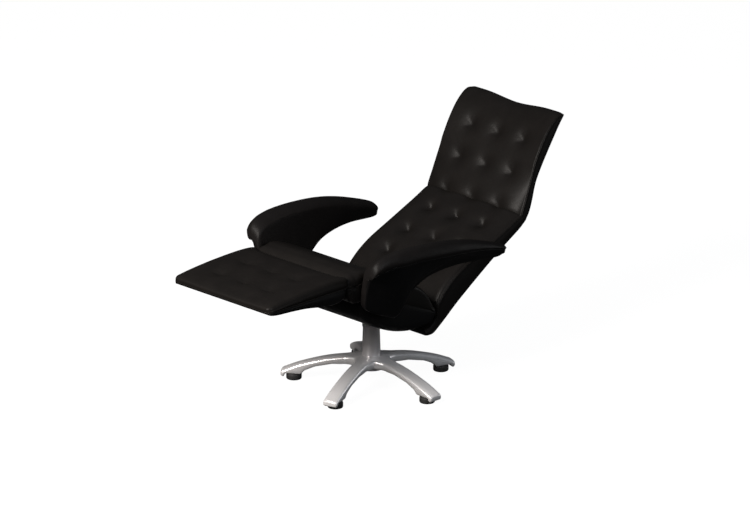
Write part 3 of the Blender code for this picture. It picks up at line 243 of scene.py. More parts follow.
def evenly(points, count):
    """Evenly spaced points along straight runs between the given ones."""
    given = np.array(points, float)
    run = np.concatenate([[0.0], np.cumsum(np.linalg.norm(np.diff(given, axis=0), axis=1))])
    wanted = np.linspace(0.0, run[-1], count)
    return np.stack([np.interp(wanted, run, given[:, k]) for k in range(given.shape[1])], axis=1)


def spline(points, count):
    """Evenly spaced points on a smooth curve through the given ones."""
    given = np.array(points, float)
    padded = np.vstack([2 * given[0] - given[1], given, 2 * given[-1] - given[-2]])
    dense = []
    for k in range(len(given) - 1):
        a, b, c, d = padded[k : k + 4]
        for t in np.linspace(0.0, 1.0, 40, endpoint=False):
            dense.append(
                0.5 * (2 * b + (c - a) * t + (2 * a - 5 * b + 4 * c - d) * t**2)
                + 0.5 * (3 * b - 3 * c + d - a) * t**3
            )
    return evenly(dense + [given[-1]], count)


def bump(distance, spread):
    """A round hill, 1 in the middle and near 0 beyond twice its spread."""
    return math.exp(-((distance / spread) ** 2))


def ease(value):
    """A smooth step from 0 to 1."""
    value = min(1.0, max(0.0, value))
    return value * value * (3.0 - 2.0 * value)


def body_of_rings(name, rings, finish):
    """A smooth closed body through rings of equally many points, with filled ends."""
    rings = np.array(rings, float)
    rows, count = rings.shape[:2]
    faces = []
    for i in range(rows - 1):
        for j in range(count):
            k = (j + 1) % count
            faces.append((i * count + j, i * count + k, (i + 1) * count + k, (i + 1) * count + j))
    faces.append(tuple(range(count))[::-1])
    faces.append(tuple(range((rows - 1) * count, rows * count)))
    mesh = bpy.data.meshes.new(name)
    mesh.from_pydata(rings.reshape(-1, 3).tolist(), [], faces)
    work = bmesh.new()
    work.from_mesh(mesh)
    bmesh.ops.remove_doubles(work, verts=work.verts, dist=2e-5)
    bmesh.ops.dissolve_degenerate(work, edges=work.edges, dist=1e-6)
    bmesh.ops.recalc_face_normals(work, faces=work.faces)
    for face in work.faces:
        face.smooth = True
    for edge in work.edges:
        if len(edge.link_faces) == 2 and edge.calc_face_angle(0.0) > CORNER_ANGLE:
            edge.smooth = False
    work.to_mesh(mesh)
    work.free()
    mesh.materials.append(finish)
    made = bpy.data.objects.new(name, mesh)
    bpy.context.scene.collection.objects.link(made)
    return made


def settle(piece):
    """Makes what a piece's modifiers show its own mesh."""
    shown = bpy.data.meshes.new_from_object(piece.evaluated_get(bpy.context.evaluated_depsgraph_get()))
    piece.modifiers.clear()
    piece.data = shown


def cut_out(piece, across, along, up, finish):
    """Cuts a square opening into a closed body, given as its reaches in x, y and z."""
    corners = [(x, along[0]) for x in across] + [(x, along[1]) for x in across[::-1]]
    cutter = body_of_rings("opening", [[(x, y, z) for x, y in corners] for z in up], finish)
    opening = piece.modifiers.new("opening", "BOOLEAN")
    opening.object = cutter
    settle(piece)
    bpy.data.objects.remove(cutter)


def places_across(count):
    """Places from -1 to 1, closer together towards both ends."""
    return [math.sin(0.5 * math.pi * (2.0 * k / count - 1.0)) for k in range(count + 1)]


def band_places(half, roll, bulge, thick):
    """Places down a side band, as (x, depth, share of what is left below the rolled edge)."""
    turns = [0.5 * math.pi * k / BAND_STEPS for k in range(1, BAND_STEPS + 1)]
    places = [(half - roll + roll * math.sin(a), roll * (1.0 - math.cos(a)), 0.0) for a in turns]
    for k in range(1, BAND_STEPS + 1):
        t = k / (BAND_STEPS + 1)
        places.append((half + bulge * math.sin(math.pi * t) * min(1.0, thick / 0.02), roll, t))
    return places


def padded_rings(front, rear, half_widths, relief, edge=0.005, rear_roll=0.0, cap=0.35, bulge=0.003):
    """Rings of a boxed cushion: a shaped front face, two side bands and a rear face.

    The front edges are rolled by edge, up to a share cap of the thickness, the rear ones by rear_roll.
    """
    rings = []
    edges = np.broadcast_to(edge, len(front))  # one value, or one for each ring
    across = places_across(COLUMNS)
    for i in range(len(front)):
        toward = front[i] - rear[i]
        thick = float(np.linalg.norm(toward))
        outward = toward / thick if thick > 1e-6 else np.zeros(2)
        half = half_widths[i]
        roll = min(edges[i], cap * thick)
        back_roll = min(rear_roll, 0.4 * thick)
        tuck = min(TUCK, 0.2 * thick)
        band = band_places(half, roll, bulge, thick)

        def side_band(corner, side, places):
            """One side band, between a corner of the front face and the rear face."""
            depth = float(np.dot(corner - rear[i], outward))
            room = max(0.0, depth - roll - max(back_roll, LEAST_EDGE))
            return [(side * x, *(corner - outward * (sink + t * room))) for x, sink, t in places]

        ring = []
        for x in [u * (half - roll) for u in across]:
            ring.append((x, *(front[i] + outward * relief(i, x, front[i], thick))))
        far, near = np.array(ring[0][1:]), np.array(ring[-1][1:])
        ring += side_band(near, 1, band)
        for x in [u * (half - tuck) for u in across[::-1]]:
            t = max(0.0, abs(x) - half + back_roll) / back_roll if back_roll > 1e-4 else 0.0
            ring.append((x, *(rear[i] + outward * back_roll * (1.0 - math.sqrt(max(0.0, 1.0 - t * t))))))
        ring += side_band(far, -1, band[::-1])
        rings.append(ring)
    return rings


def shares(curve):
    """How far along a curve each of its points lies, from 0 to 1."""
    run = np.concatenate([[0.0], np.cumsum(np.linalg.norm(np.diff(curve, axis=0), axis=1))])
    return run / run[-1]


def rounded_widths(curve, half, corner_start, corner_end):
    """Half widths along a curve whose panel has rounded corners at its ends."""
    run = shares(curve) * np.sum(np.linalg.norm(np.diff(curve, axis=0), axis=1))
    widths = []
    for place in run:
        width = half
        for corner, left in ((corner_start, place), (corner_end, run[-1] - place)):
            if corner > 0.0 and left < corner:
                width = min(width, half - corner + math.sqrt(corner**2 - (corner - left) ** 2))
        widths.append(width)
    return widths


def tuft_sink(apart, angle, pinch, hollow, spread):
    """Depth of a sewn tuft: a sharp pinch in a soft hollow, with short folds running out of it."""
    folds = 0.0011 * math.cos(5.0 * angle + 0.6) * bump(apart - 0.017, 0.011)
    return pinch * math.exp(-apart / 0.013) + hollow * bump(apart, spread) + folds


def crown(x, half, i, drop, thick):
    """How far the back's front face falls away towards its side seams."""
    flat = half - SHOULDER_EDGE
    shoulder = flat - ease((i - SHOULDER_START) / SHOULDER_RUN) * (flat - SHOULDER)
    t = max(0.0, (abs(x) - shoulder) / (half - shoulder))
    fall = drop * (1.0 - math.sqrt(max(0.0, 1.0 - t**2.4))) if drop > 0.0 else drop * (x / half) ** 2
    return min(fall, 0.75 * thick)


def make_back(finish):
    """Back and head in one cover that bends at the fold, sunk at its tufts and at the crease."""
    foot = arc(BACK_AXIS, BACK_FOOT_RADIUS, -92.0, 12.0, 12)
    low_front = spline([BACK_END] + foot + list(BACK_MIDDLE), BACK_ROWS)
    low_rear = spline([BACK_END] + list(BACK_REAR), BACK_ROWS)
    high_front = spline(list(HEAD_MIDDLE) + [HEAD_END], HEAD_ROWS)
    high_rear = spline(list(HEAD_REAR) + [HEAD_END], HEAD_ROWS)
    front = np.vstack([low_front, high_front[1:]])
    rear = np.vstack([low_rear, high_rear[1:]])
    low_share, high_share = shares(low_front), shares(high_front)
    drops = [np.interp(s, *zip(*BACK_SIDE_DROP)) for s in low_share]
    drops += [np.interp(s, *zip(*HEAD_SIDE_DROP)) for s in high_share[1:]]
    widths = [BACK_HALF_WIDTH] * BACK_ROWS
    widths += [BACK_HALF_WIDTH + (HEAD_HALF_WIDTH - BACK_HALF_WIDTH) * ease(2 * s) for s in high_share[1:]]
    corner = rounded_widths(front, BACK_HALF_WIDTH, 0.0, HEAD_CORNER)
    widths = [min(a, b) for a, b in zip(widths, corner)]
    tufts = [(x, *row) for row in BACK_TUFT_ROWS for x in (-BACK_TUFT_SPACING, 0.0, BACK_TUFT_SPACING)]

    def relief(i, x, point, thick):
        """How far a point of the front face stands out of its side curve."""
        sink = 0.0
        for tuft in tufts:
            apart = math.dist((x, *point), tuft)
            if apart < TUFT_REACH:
                share = LOW_TUFT_SHARE if tuft[2] < LOW_TUFTS_BELOW else 1.0
                sink += share * tuft_sink(apart, math.atan2(point[1] - tuft[2], x - tuft[0]), *BACK_TUFT)
        apart = math.dist(point, FOLD)
        sink += sum(depth * bump(apart, spread) for depth, spread in CREASES)
        return -crown(x, widths[i], i, drops[i], thick) - min(1.0, thick / 0.03) * sink

    rings = np.array(padded_rings(front, rear, widths, relief, rear_roll=0.020))
    for i in range(BACK_ROWS, len(front)):  # the head's upper edge dips in the middle
        share = ease((high_share[i - BACK_ROWS + 1] - 0.70) / 0.30)
        for point in rings[i]:
            reach = abs(point[0])
            point[2] += share * (0.0115 * ease(reach / 0.16) - 0.005 * ease((reach - 0.205) / 0.03))
    seams = {name: rings[12:-2, column] for name, column in BACK_SEAM_COLUMNS}
    return body_of_rings("back_cover", rings, finish), seams


def plain(i, x, point, thick):
    """No relief at all."""
    return 0.0


def make_seat(finish):
    """The seat's cover from the knee roll to its tail, with slots for the back's rails."""
    roll = arc(FOOT_AXIS, KNEE_RADIUS, 165.0, 90.0, 12)
    front = spline(roll + list(SEAT_TOP), SEAT_ROWS)
    hollow = arc(FOOT_AXIS, 0.003, 165.0, 15.0, 4)
    under = [(y, SEAT_SEAM_Z + SEAT_SEAM_SLOPE * y) for y in SEAT_SEAM_Y]
    rear = evenly([roll[0]] + hollow + under + [SEAT_TOP[-1]], SEAT_ROWS)
    widths = rounded_widths(front, SEAT_HALF_WIDTH, 0.004, 0.004)
    edges = [0.014 + 0.024 * ease((22 - i) / 14.0) for i in range(SEAT_ROWS)]
    rings = padded_rings(front, rear, widths, plain, edge=edges, cap=0.8, bulge=0.0008)
    seat = body_of_rings("seat_cover", rings, finish)
    for side in (-1, 1):
        cut_out(seat, sorted(side * x for x in RAIL_SLOT[0]), *RAIL_SLOT[1:], finish)
    return seat


def hug(x, share):
    """How far the footrest's rear corners reach back round the ends of the knee roll."""
    return 0.020 * ease((share - 0.75) / 0.25) * ease((abs(x) - 0.185) / 0.05)


def make_footrest(finish, shaded_under_finish):
    """The footrest's tufted lid, its softer underside and the path of the seam between them; the underside's
    darker leather is painted shade.
    """
    top = spline(FOOT_TOP, FOOT_ROWS)
    rear = evenly(FOOT_TOP_INNER, FOOT_ROWS)
    widths = rounded_widths(rear, FOOT_HALF_WIDTH, FOOT_CORNER, 0.026)
    tufts = [(x, y) for y in FOOT_TUFT_ROWS for x in (-FOOT_TUFT_SPACING, 0.0, FOOT_TUFT_SPACING)]
    along = [i / (FOOT_ROWS - 1) for i in range(FOOT_ROWS)]

    def relief(i, x, point, thick):
        """How far a point of the lid stands out of its side curve."""
        sink = 0.0
        for tx, ty in tufts:
            apart = math.dist((x, point[0]), (tx, ty))
            if apart < TUFT_REACH:
                sink += tuft_sink(apart, math.atan2(point[0] - ty, x - tx), *FOOT_TUFT)
        for row in FOOT_TUFT_ROWS:
            sink += 0.0005 * bump(point[0] - row, 0.011) * ease((0.21 - abs(x)) / 0.05)
        sink -= 0.0015 * ease((abs(x) - 0.10) / 0.08)
        return -sink * min(1.0, thick / 0.02)

    rings = padded_rings(top, rear, widths, relief, edge=0.018, cap=0.75, bulge=0.002)
    rings = [[(x, y + hug(x, share), z) for x, y, z in ring] for share, ring in zip(along, rings)]
    lid = body_of_rings("footrest_top", rings, finish)
    half = [(w, y + hug(w, share)) for share, w, y in zip(along, widths, rear[:, 0])][::-1]
    middle = (0.0, half[0][1], FOOT_SEAM_Z)
    seam = [(x, y, FOOT_SEAM_Z) for x, y in half] + [(-x, y, FOOT_SEAM_Z) for x, y in half[::-1]]
    bottom = spline(FOOT_UNDER, UNDER_ROWS)
    upper = evenly(FOOT_UNDER_INNER, UNDER_ROWS)
    widths = rounded_widths(upper, FOOT_HALF_WIDTH - 0.001, FOOT_CORNER, 0.034)
    pad = padded_rings(bottom, upper, widths, plain, edge=0.014)
    return lid, body_of_rings("footrest_under", pad, shaded_under_finish), [middle] + seam + [middle]


def make_gusset(name, first, last, inset, finish):
    """A part of the gathered leather that joins the seat to the footrest round the knee."""
    degrees = [first + (last - first) * k / (GUSSET_ROWS - 1) for k in range(GUSSET_ROWS)]
    turns = [math.radians(d) for d in degrees]
    ways = np.array([(math.cos(a), math.sin(a)) for a in turns])
    reach = np.interp(degrees, *zip(*GUSSET_REACH)) - inset
    front = FOOT_AXIS + reach[:, None] * ways
    rear = FOOT_AXIS + 0.0004 * ways
    widths = [SEAT_HALF_WIDTH + 0.0006 - inset] * GUSSET_ROWS
    rings = np.array(padded_rings(front, rear, widths, plain, edge=0.010))
    for turn, ring in zip(turns, rings):
        for point in ring:  # gathers at both ends
            side = ease((abs(point[0]) - 0.222) / 0.012)
            lean = math.sin(10.0 * turn + 3.0 * (point[2] - 0.45) / 0.05)
            point[0] += math.copysign(0.0016 * side * lean, point[0])
    return body_of_rings(name, rings, finish)


def make_belly(finish):
    """The closed underside of the seat, with a mouth for the tilt bracket."""
    tail = arc(BACK_AXIS, SEAT_TAIL_RADIUS, -80.0, 5.0, 8)
    under = spline(list(BELLY_UNDER) + tail, BELLY_ROWS)
    lid = evenly(BELLY_INNER, BELLY_ROWS)
    widths = [SEAT_HALF_WIDTH] * BELLY_ROWS
    rings = padded_rings(under, lid, widths, plain, edge=0.030, bulge=0.0008)
    belly = body_of_rings("belly_cover", rings, finish)
    cut_out(belly, *BRACKET_MOUTH, finish)
    return belly


# Side curves of an arm, as (y, z): its ridge and the lower edges outside and inside
ARM_RIDGE = (
    (-0.3060, 0.5560),
    (-0.2980, 0.5860),
    (-0.2750, 0.6070),
    (-0.2300, 0.6190),
    (-0.1300, 0.6235),
    (0.0200, 0.6120),
    (0.1400, 0.5890),
    (0.2450, 0.5570),
    (0.3100, 0.5330),
    (0.3400, 0.5180),
)
ARM_OUTER_EDGE = (
    (-0.3000, 0.4600),
    (-0.2950, 0.4260),
    (-0.2600, 0.3980),
    (-0.2000, 0.3730),
    (-0.1500, 0.3570),
    (-0.1150, 0.3900),
    (-0.0700, 0.4600),
    (0.0250, 0.5110),
    (0.1150, 0.5190),
    (0.2100, 0.5080),
    (0.3100, 0.4900),
    (0.3400, 0.4870),
)
ARM_INNER_EDGE = (
    (-0.3000, 0.4600),
    (-0.2950, 0.4260),
    (-0.2600, 0.3980),
    (-0.2000, 0.3730),
    (-0.1500, 0.3570),
    (-0.0990, 0.3880),
    (-0.0390, 0.4370),
    (0.0205, 0.4670),
    (0.1100, 0.4800),
    (0.2000, 0.4800),
    (0.3100, 0.4710),
    (0.3400, 0.4760),
)
# Height of the seam between the padded top and the outer panel, as (y, z)
ARM_SEAM = (
    (-0.30, 0.543),
    (-0.21, 0.571),
    (-0.10, 0.569),
    (0.00, 0.560),
    (0.10, 0.550),
    (0.20, 0.536),
    (0.34, 0.506),
)
# Breadths of an arm, as (y, x)
ARM_TOP_INSIDE = ((-0.31, 0.2615), (-0.15, 0.270), (0.05, 0.284), (0.20, 0.292), (0.35, 0.300))
ARM_TOP_OUTSIDE = (
    (-0.31, 0.322),
    (-0.30, 0.331),
    (-0.28, 0.338),
    (-0.25, 0.344),
    (-0.20, 0.350),
    (-0.05, 0.356),
    (0.10, 0.358),
    (0.35, 0.344),
)
ARM_FOOT_INSIDE = ((-0.31, 0.2435), (-0.12, 0.2435), (0.05, 0.272), (0.20, 0.295), (0.35, 0.306))
ARM_FOOT_OUTSIDE = (
    (-0.31, 0.268),
    (-0.27, 0.270),
    (-0.15, 0.274),
    (-0.07, 0.291),
    (0.03, 0.322),
    (0.35, 0.335),
)
ARM_CORNER = 0.011
ARM_AROUND = 96
ARM_STATIONS = [0.022 * k / 14 for k in range(14)] + [0.022 + 0.953 * k / 74 for k in range(74)]
ARM_STATIONS += [0.975 + 0.025 * k / 11 for k in range(12)]
SEAM_POINT = 10  # the point of a section that lies in the seam
SEAM_LIFT = 0.0012  # how far the piping stands out of it
SEAM_FRONT_X, SEAM_FRONT_STEP = 0.268, 0.005  # where the piping starts across the arm's front
LEVER_ROOM = 0.010  # how far the right arm's lower edge is raised over the lifted lever
LEVER_ROOM_TOP, LEVER_ROOM_FADE = 0.385, 0.028


def arm_section(ridge, outer, inner):
    """Points round an arm's section: up its inside, over the ridge, in at the seam and down the panel."""
    left = np.interp(ridge[0], *zip(*ARM_TOP_INSIDE))
    right = np.interp(ridge[0], *zip(*ARM_TOP_OUTSIDE))
    foot_left = np.interp(inner[0], *zip(*ARM_FOOT_INSIDE))
    foot_right = np.interp(outer[0], *zip(*ARM_FOOT_OUTSIDE))
    wide = right - left
    fall = min(0.036, 0.4 * (ridge[1] - inner[1]))
    seam_y = 0.6 * ridge[0] + 0.4 * outer[0]
    tall = ridge[1] - outer[1]
    seam_z = min(np.interp(seam_y, *zip(*ARM_SEAM)), ridge[1] - min(0.25 * tall, 0.016))
    seam_z = max(seam_z, outer[1] + 0.35 * tall)
    drop = ridge[1] - seam_z
    taper = 0.028 * ease((-0.18 - ridge[0]) / 0.12)
    lip = 0.0045 * ease((ridge[0] + 0.302) / 0.045)
    panel = 0.45 * np.array((seam_y, seam_z)) + 0.55 * outer
    return (
        (foot_left, *(inner + (0.0, 0.25 * fall))),
        (0.35 * left + 0.65 * foot_left, *(0.35 * ridge + 0.65 * inner)),
        (left, *(ridge - (0.0, fall))),
        (left + 0.08 * wide, *(ridge - (0.0, 0.62 * fall))),
        (left + 0.30 * wide, *(ridge - (0.0, 0.28 * fall))),
        (left + 0.62 * wide, *ridge),
        (left + 0.82 * wide, *(ridge - (0.0, 0.14 * drop))),
        (left + 0.95 * wide, 0.9 * ridge[0] + 0.1 * seam_y, ridge[1] - 0.42 * drop),
        (right + 0.001 - 0.40 * taper, 0.5 * ridge[0] + 0.5 * seam_y, ridge[1] - 0.75 * drop),
        (right - 0.002 - taper, seam_y, seam_z + 0.0035),
        (right - 0.002 - lip - taper, seam_y, seam_z),
        (right - 0.0015 - lip - 1.1 * taper, seam_y, seam_z - 0.004),
        (0.45 * (right - 0.005 - 1.4 * taper) + 0.55 * foot_right, *panel),
        (foot_right, *(outer + (0.0, 0.12 * fall))),
        (0.25 * foot_left + 0.75 * foot_right, *(0.15 * inner + 0.85 * outer)),
        (0.75 * foot_left + 0.25 * foot_right, *(0.85 * inner + 0.15 * outer)),
    )


def arm_rings(side):
    """Rings of an arm with rounded ends, and the path of the piping in its seam."""
    places = [round(1000 * s) for s in ARM_STATIONS]
    curves = (ARM_RIDGE, ARM_OUTER_EDGE, ARM_INNER_EDGE)
    ridges, outers, inners = [spline(curve, 1001)[places] for curve in curves]
    middles = (ridges[:, 0] + outers[:, 0]) / 2.0
    rings, seam = [], []
    for ridge, outer, inner, middle in zip(ridges, outers, inners, middles):
        section = arm_section(ridge, outer, inner)
        closed = spline(section + section[:1], ARM_AROUND + 1)[:-1]
        ahead = min(middle - middles[0], middles[-1] - middle)
        inset = ARM_CORNER - math.sqrt(max(0.0, ARM_CORNER**2 - max(0.0, ARM_CORNER - ahead) ** 2))
        centre = closed.mean(axis=0)
        half = np.abs(closed - centre).max(axis=0)
        shrink = np.array([1.0 - inset / half[0], 1.0, 1.0 - 0.5 * inset / half[2]])
        closed = centre + (closed - centre) * shrink
        rings.append(closed * (side, 1.0, 1.0))
        spot = centre + (np.array(section[SEAM_POINT]) - centre) * shrink
        seam.append((side * (spot[0] + SEAM_LIFT), spot[1], spot[2]))
    first = seam[0]
    steps = max(1, int((abs(first[0]) - SEAM_FRONT_X) / SEAM_FRONT_STEP))
    reaches = [side * (SEAM_FRONT_X + SEAM_FRONT_STEP * k) for k in range(steps)]
    front = [(reach, first[1] - 0.0005, first[2]) for reach in reaches]
    if side < 0:
        for ring in rings:
            ring[:, 2] += LEVER_ROOM * np.clip((LEVER_ROOM_TOP - ring[:, 2]) / LEVER_ROOM_FADE, 0.0, 1.0)
    return rings, front + seam


def paint_shade_leather(piece, finish, chosen):
    """Covers some faces of a piece in another leather, a darker copy that paints shade where faces turn away
    from the lamps.
    """
    piece.data.materials.append(finish)
    for place in piece.data.polygons:
        if chosen(place):
            place.material_index = 1


def on_rear(place):
    """Whether a face of the back belongs to its rear cover."""
    return place.normal.y > 0.25 and place.normal.z < 0.3


def lower_outside(place, side):
    """Whether a face of an arm belongs to the panel below the seam."""
    _, y, z = place.center
    return z < np.interp(y, *zip(*ARM_SEAM)) - 0.001 and side * place.normal.x > 0.2


def piping(name, path, radius, finish, around=10):
    """A thin round seam cord along a path."""
    path = evenly(path, max(8, int(len(path) * 1.5)))
    along = np.gradient(path, axis=0)
    along /= np.linalg.norm(along, axis=1)[:, None]
    side = np.cross(along[0], (0.31, 0.47, 0.83))
    turns = [2.0 * math.pi * k / around for k in range(around)]
    rings = []
    for spot, way in zip(path, along):
        side = side - way * np.dot(side, way)
        side /= np.linalg.norm(side)
        across = np.cross(way, side)
        rings.append([spot + radius * (math.cos(a) * side + math.sin(a) * across) for a in turns])
    return body_of_rings(name, rings, finish)


def turned(name, profile, finish, place=(0.0, 0.0), around=96):
    """A body turned round the vertical, from a profile of (radius, height)."""
    turns = [2.0 * math.pi * k / around for k in range(around)]
    ways = [(math.cos(a), math.sin(a)) for a in turns]
    rings = []
    for radius, height in profile:
        rings.append([(place[0] + radius * x, place[1] + radius * y, height) for x, y in ways])
    return body_of_rings(name, rings, finish)


# The cast star: hub as (radius, z), top and underside of an arm as (reach, z)
STAR_HUB = ((0.0, 0.060), (0.050, 0.060), (0.054, 0.064), (0.052, 0.100), (0.044, 0.108), (0.0, 0.108))
STAR_TOP = (
    (0.0, 0.1065),
    (0.05, 0.1060),
    (0.10, 0.1015),
    (0.16, 0.0915),
    (0.22, 0.0755),
    (0.27, 0.0590),
    (0.318, 0.0385),
)
STAR_UNDER = (
    (0.0, 0.070),
    (0.06, 0.074),
    (0.14, 0.070),
    (0.20, 0.057),
    (0.240, 0.039),
    (0.250, 0.0258),
    (0.3095, 0.0258),
    (0.3115, 0.014),
    (0.330, 0.014),
)
STAR_TIP = 0.3255
STAR_NOSE = 0.006  # radius of the rounding at an arm's tip
STAR_REACHES = [0.3245 * k / 60 for k in range(61)] + [STAR_TIP]
STAR_VOXEL = 0.0024
ARM_TURNS = [2.0 * math.pi * k / 5 for k in range(5)]
GLIDE_CIRCLE = 0.280


def star_arm(turn, finish):
    """One arched arm of the star, with a flat top and a slanted nose."""
    tops = spline(STAR_TOP, 200)
    cos, sin = math.cos(turn), math.sin(turn)
    rings = []
    for reach in STAR_REACHES:
        left = max(0.0, STAR_TIP - reach)
        inset = STAR_NOSE * (1.0 - math.sqrt(max(0.0, 1.0 - max(0.0, 1.0 - left / STAR_NOSE) ** 2)))
        w = 0.0275 + 0.016 * ease((0.095 - reach) / 0.06) + 0.001 * ease((reach - 0.2) / 0.1) - inset
        top = np.interp(reach, tops[:, 0], tops[:, 1]) - 1.5 * inset
        under = np.interp(reach, *zip(*STAR_UNDER)) + inset
        deep = top - under
        round_off = min(0.009, 0.45 * deep)
        section = [
            (-w + 0.003, under),
            (-w, under + 0.35 * deep),
            (-w + 0.0005, top - round_off),
            (-w + 0.0035, top - 0.32 * round_off),
            (-w + 0.0105, top - 0.0006),
            (-0.4 * w, top + 0.0006),
        ]
        section += [(-x, z) for x, z in section[::-1]]
        rings.append([(reach * cos - y * sin, reach * sin + y * cos, z) for y, z in evenly(section, 48)])
    return body_of_rings("arm", rings, finish)


def make_star(finish):
    """The cast star: five arms run together in the hub, with soft fillets."""
    parts = [turned("hub", STAR_HUB, finish)] + [star_arm(turn, finish) for turn in ARM_TURNS]
    work = bmesh.new()
    for part in parts:
        work.from_mesh(part.data)
        bpy.data.objects.remove(part)
    rough = bpy.data.meshes.new("star_rough")
    work.to_mesh(rough)
    work.free()
    star = bpy.data.objects.new("star", rough)
    bpy.context.scene.collection.objects.link(star)
    seamless = star.modifiers.new("seamless", "REMESH")
    seamless.mode = "VOXEL"
    seamless.voxel_size = STAR_VOXEL
    fillets = star.modifiers.new("fillets", "SMOOTH")
    fillets.factor = 0.5
    fillets.iterations = 4
    settle(star)
    star.data.shade_smooth()
    star.data.materials.clear()
    star.data.materials.append(finish)
    return star


def make_column(finish):
    """The column's tube, with the narrow collar at its top."""
    tube = ((0.0235, 0.070), (0.0330, 0.070), (0.0330, 0.124), (0.0328, 0.135), (0.0302, 0.212))
    neck = ((0.0302, 0.2145), (0.0323, 0.2155))
    collar = ((0.0325, 0.217), (0.0325, 0.2245), (0.0318, 0.2258), (0.0235, 0.2258))
    return turned("column", tube + neck + collar, finish)


def make_glide(k, finish):
    """A round rubber glide with a soft edge and a narrow waist under the arm."""
    turn = ARM_TURNS[k]
    foot = (GLIDE_CIRCLE * math.cos(turn), GLIDE_CIRCLE * math.sin(turn))
    sole = ((0.0, 0.0), (0.0235, 0.0), (0.0262, 0.0008), (0.0276, 0.0028), (0.0280, 0.0060))
    neck = ((0.0280, 0.0170), (0.0274, 0.0195), (0.0262, 0.0205), (0.0258, 0.0250), (0.0, 0.0250))
    return turned(f"glide_pad_{k + 1}", sole + neck, finish, foot, 64)


EVEN = (1.0, 1.0, 1.0)
LEATHER_GLOSS = 0.10
# Slot, then name, colour, worn colour, roughness, and scale and depth of the grain
LEATHERS = (
    ("leather", "smooth_leather", (0.0066, 0.0057, 0.0052), (0.0088, 0.0076, 0.0069), 0.44, 620.0, 0.35),
    ("grained_leather", "grained_leather", (0.006, 0.0052, 0.005), (0.0077, 0.0067, 0.0064), 0.46, 430, 0.9),
    # back_leather is partly a real flat leather, but its colour, half that of the smooth leather, is painted
    # shade for faces turned from the lamps: the back's rear cover, the belly, the footrest's underside and
    # the arms' outer panels.
    ("back_leather", "flat_leather_painted_shade", (0.0030, 0.0028, 0.0030), (0.0040, 0.0038, 0.0039), 0.55, 520.0, 0.6),
)
# Name, colour, shaded colour, roughness, stretch and depth of the lines, and how metallic
METALS = (
    ("satin_aluminium", (0.90, 0.885, 0.89), (0.84, 0.825, 0.83), 0.30, EVEN, 0.00002, 0.42),
    ("satin_steel", (0.80, 0.77, 0.775), (0.74, 0.71, 0.715), 0.32, (1.0, 1.0, 0.03), 0.0001, 0.45),
    ("zinc_steel", (0.58, 0.58, 0.56), (0.46, 0.46, 0.46), 0.42, EVEN, 0.0003, 0.72),
)
# Name, colour, shaded colour, roughness, and scale and depth of the texture
PLAIN_FINISHES = (
    ("painted_steel", (0.030, 0.030, 0.030), (0.022, 0.022, 0.022), 0.45, 900.0, 0.0003),
    ("black_rubber", (0.014, 0.014, 0.014), (0.020, 0.019, 0.019), 0.7, 700.0, 0.0003),
    ("bush_plastic", (0.75, 0.74, 0.70), (0.66, 0.65, 0.60), 0.5, 400.0, 0.0002),
    ("black_plastic", (0.030, 0.030, 0.030), (0.024, 0.024, 0.024), 0.42, 800.0, 0.0003),
)


def grey(level):
    """A neutral colour."""
    return (level, level, level, 1.0)


class Term:
    """A shader socket that takes part in ordinary Python maths."""

    def __init__(self, finish, socket):
        self.finish = finish
        self.socket = socket

    def worked(self, operation, first, second):
        """The result of one sum on two values, either of which may be a Term."""
        node = self.finish.node("ShaderNodeMath", {"operation": operation}, {0: first, 1: second})
        return Term(self.finish, node.outputs[0])

    def __add__(self, other):
        return self.worked("ADD", self, other)

    def __radd__(self, other):
        return self.worked("ADD", other, self)

    def __sub__(self, other):
        return self.worked("SUBTRACT", self, other)

    def __rsub__(self, other):
        return self.worked("SUBTRACT", other, self)

    def __mul__(self, other):
        return self.worked("MULTIPLY", self, other)

    def __rmul__(self, other):
        return self.worked("MULTIPLY", other, self)

    def above(self, level):
        """This value, but nowhere less than the level."""
        return self.worked("MAXIMUM", self, level)

    def below(self, level):
        """This value, but nowhere more than the level."""
        return self.worked("MINIMUM", self, level)


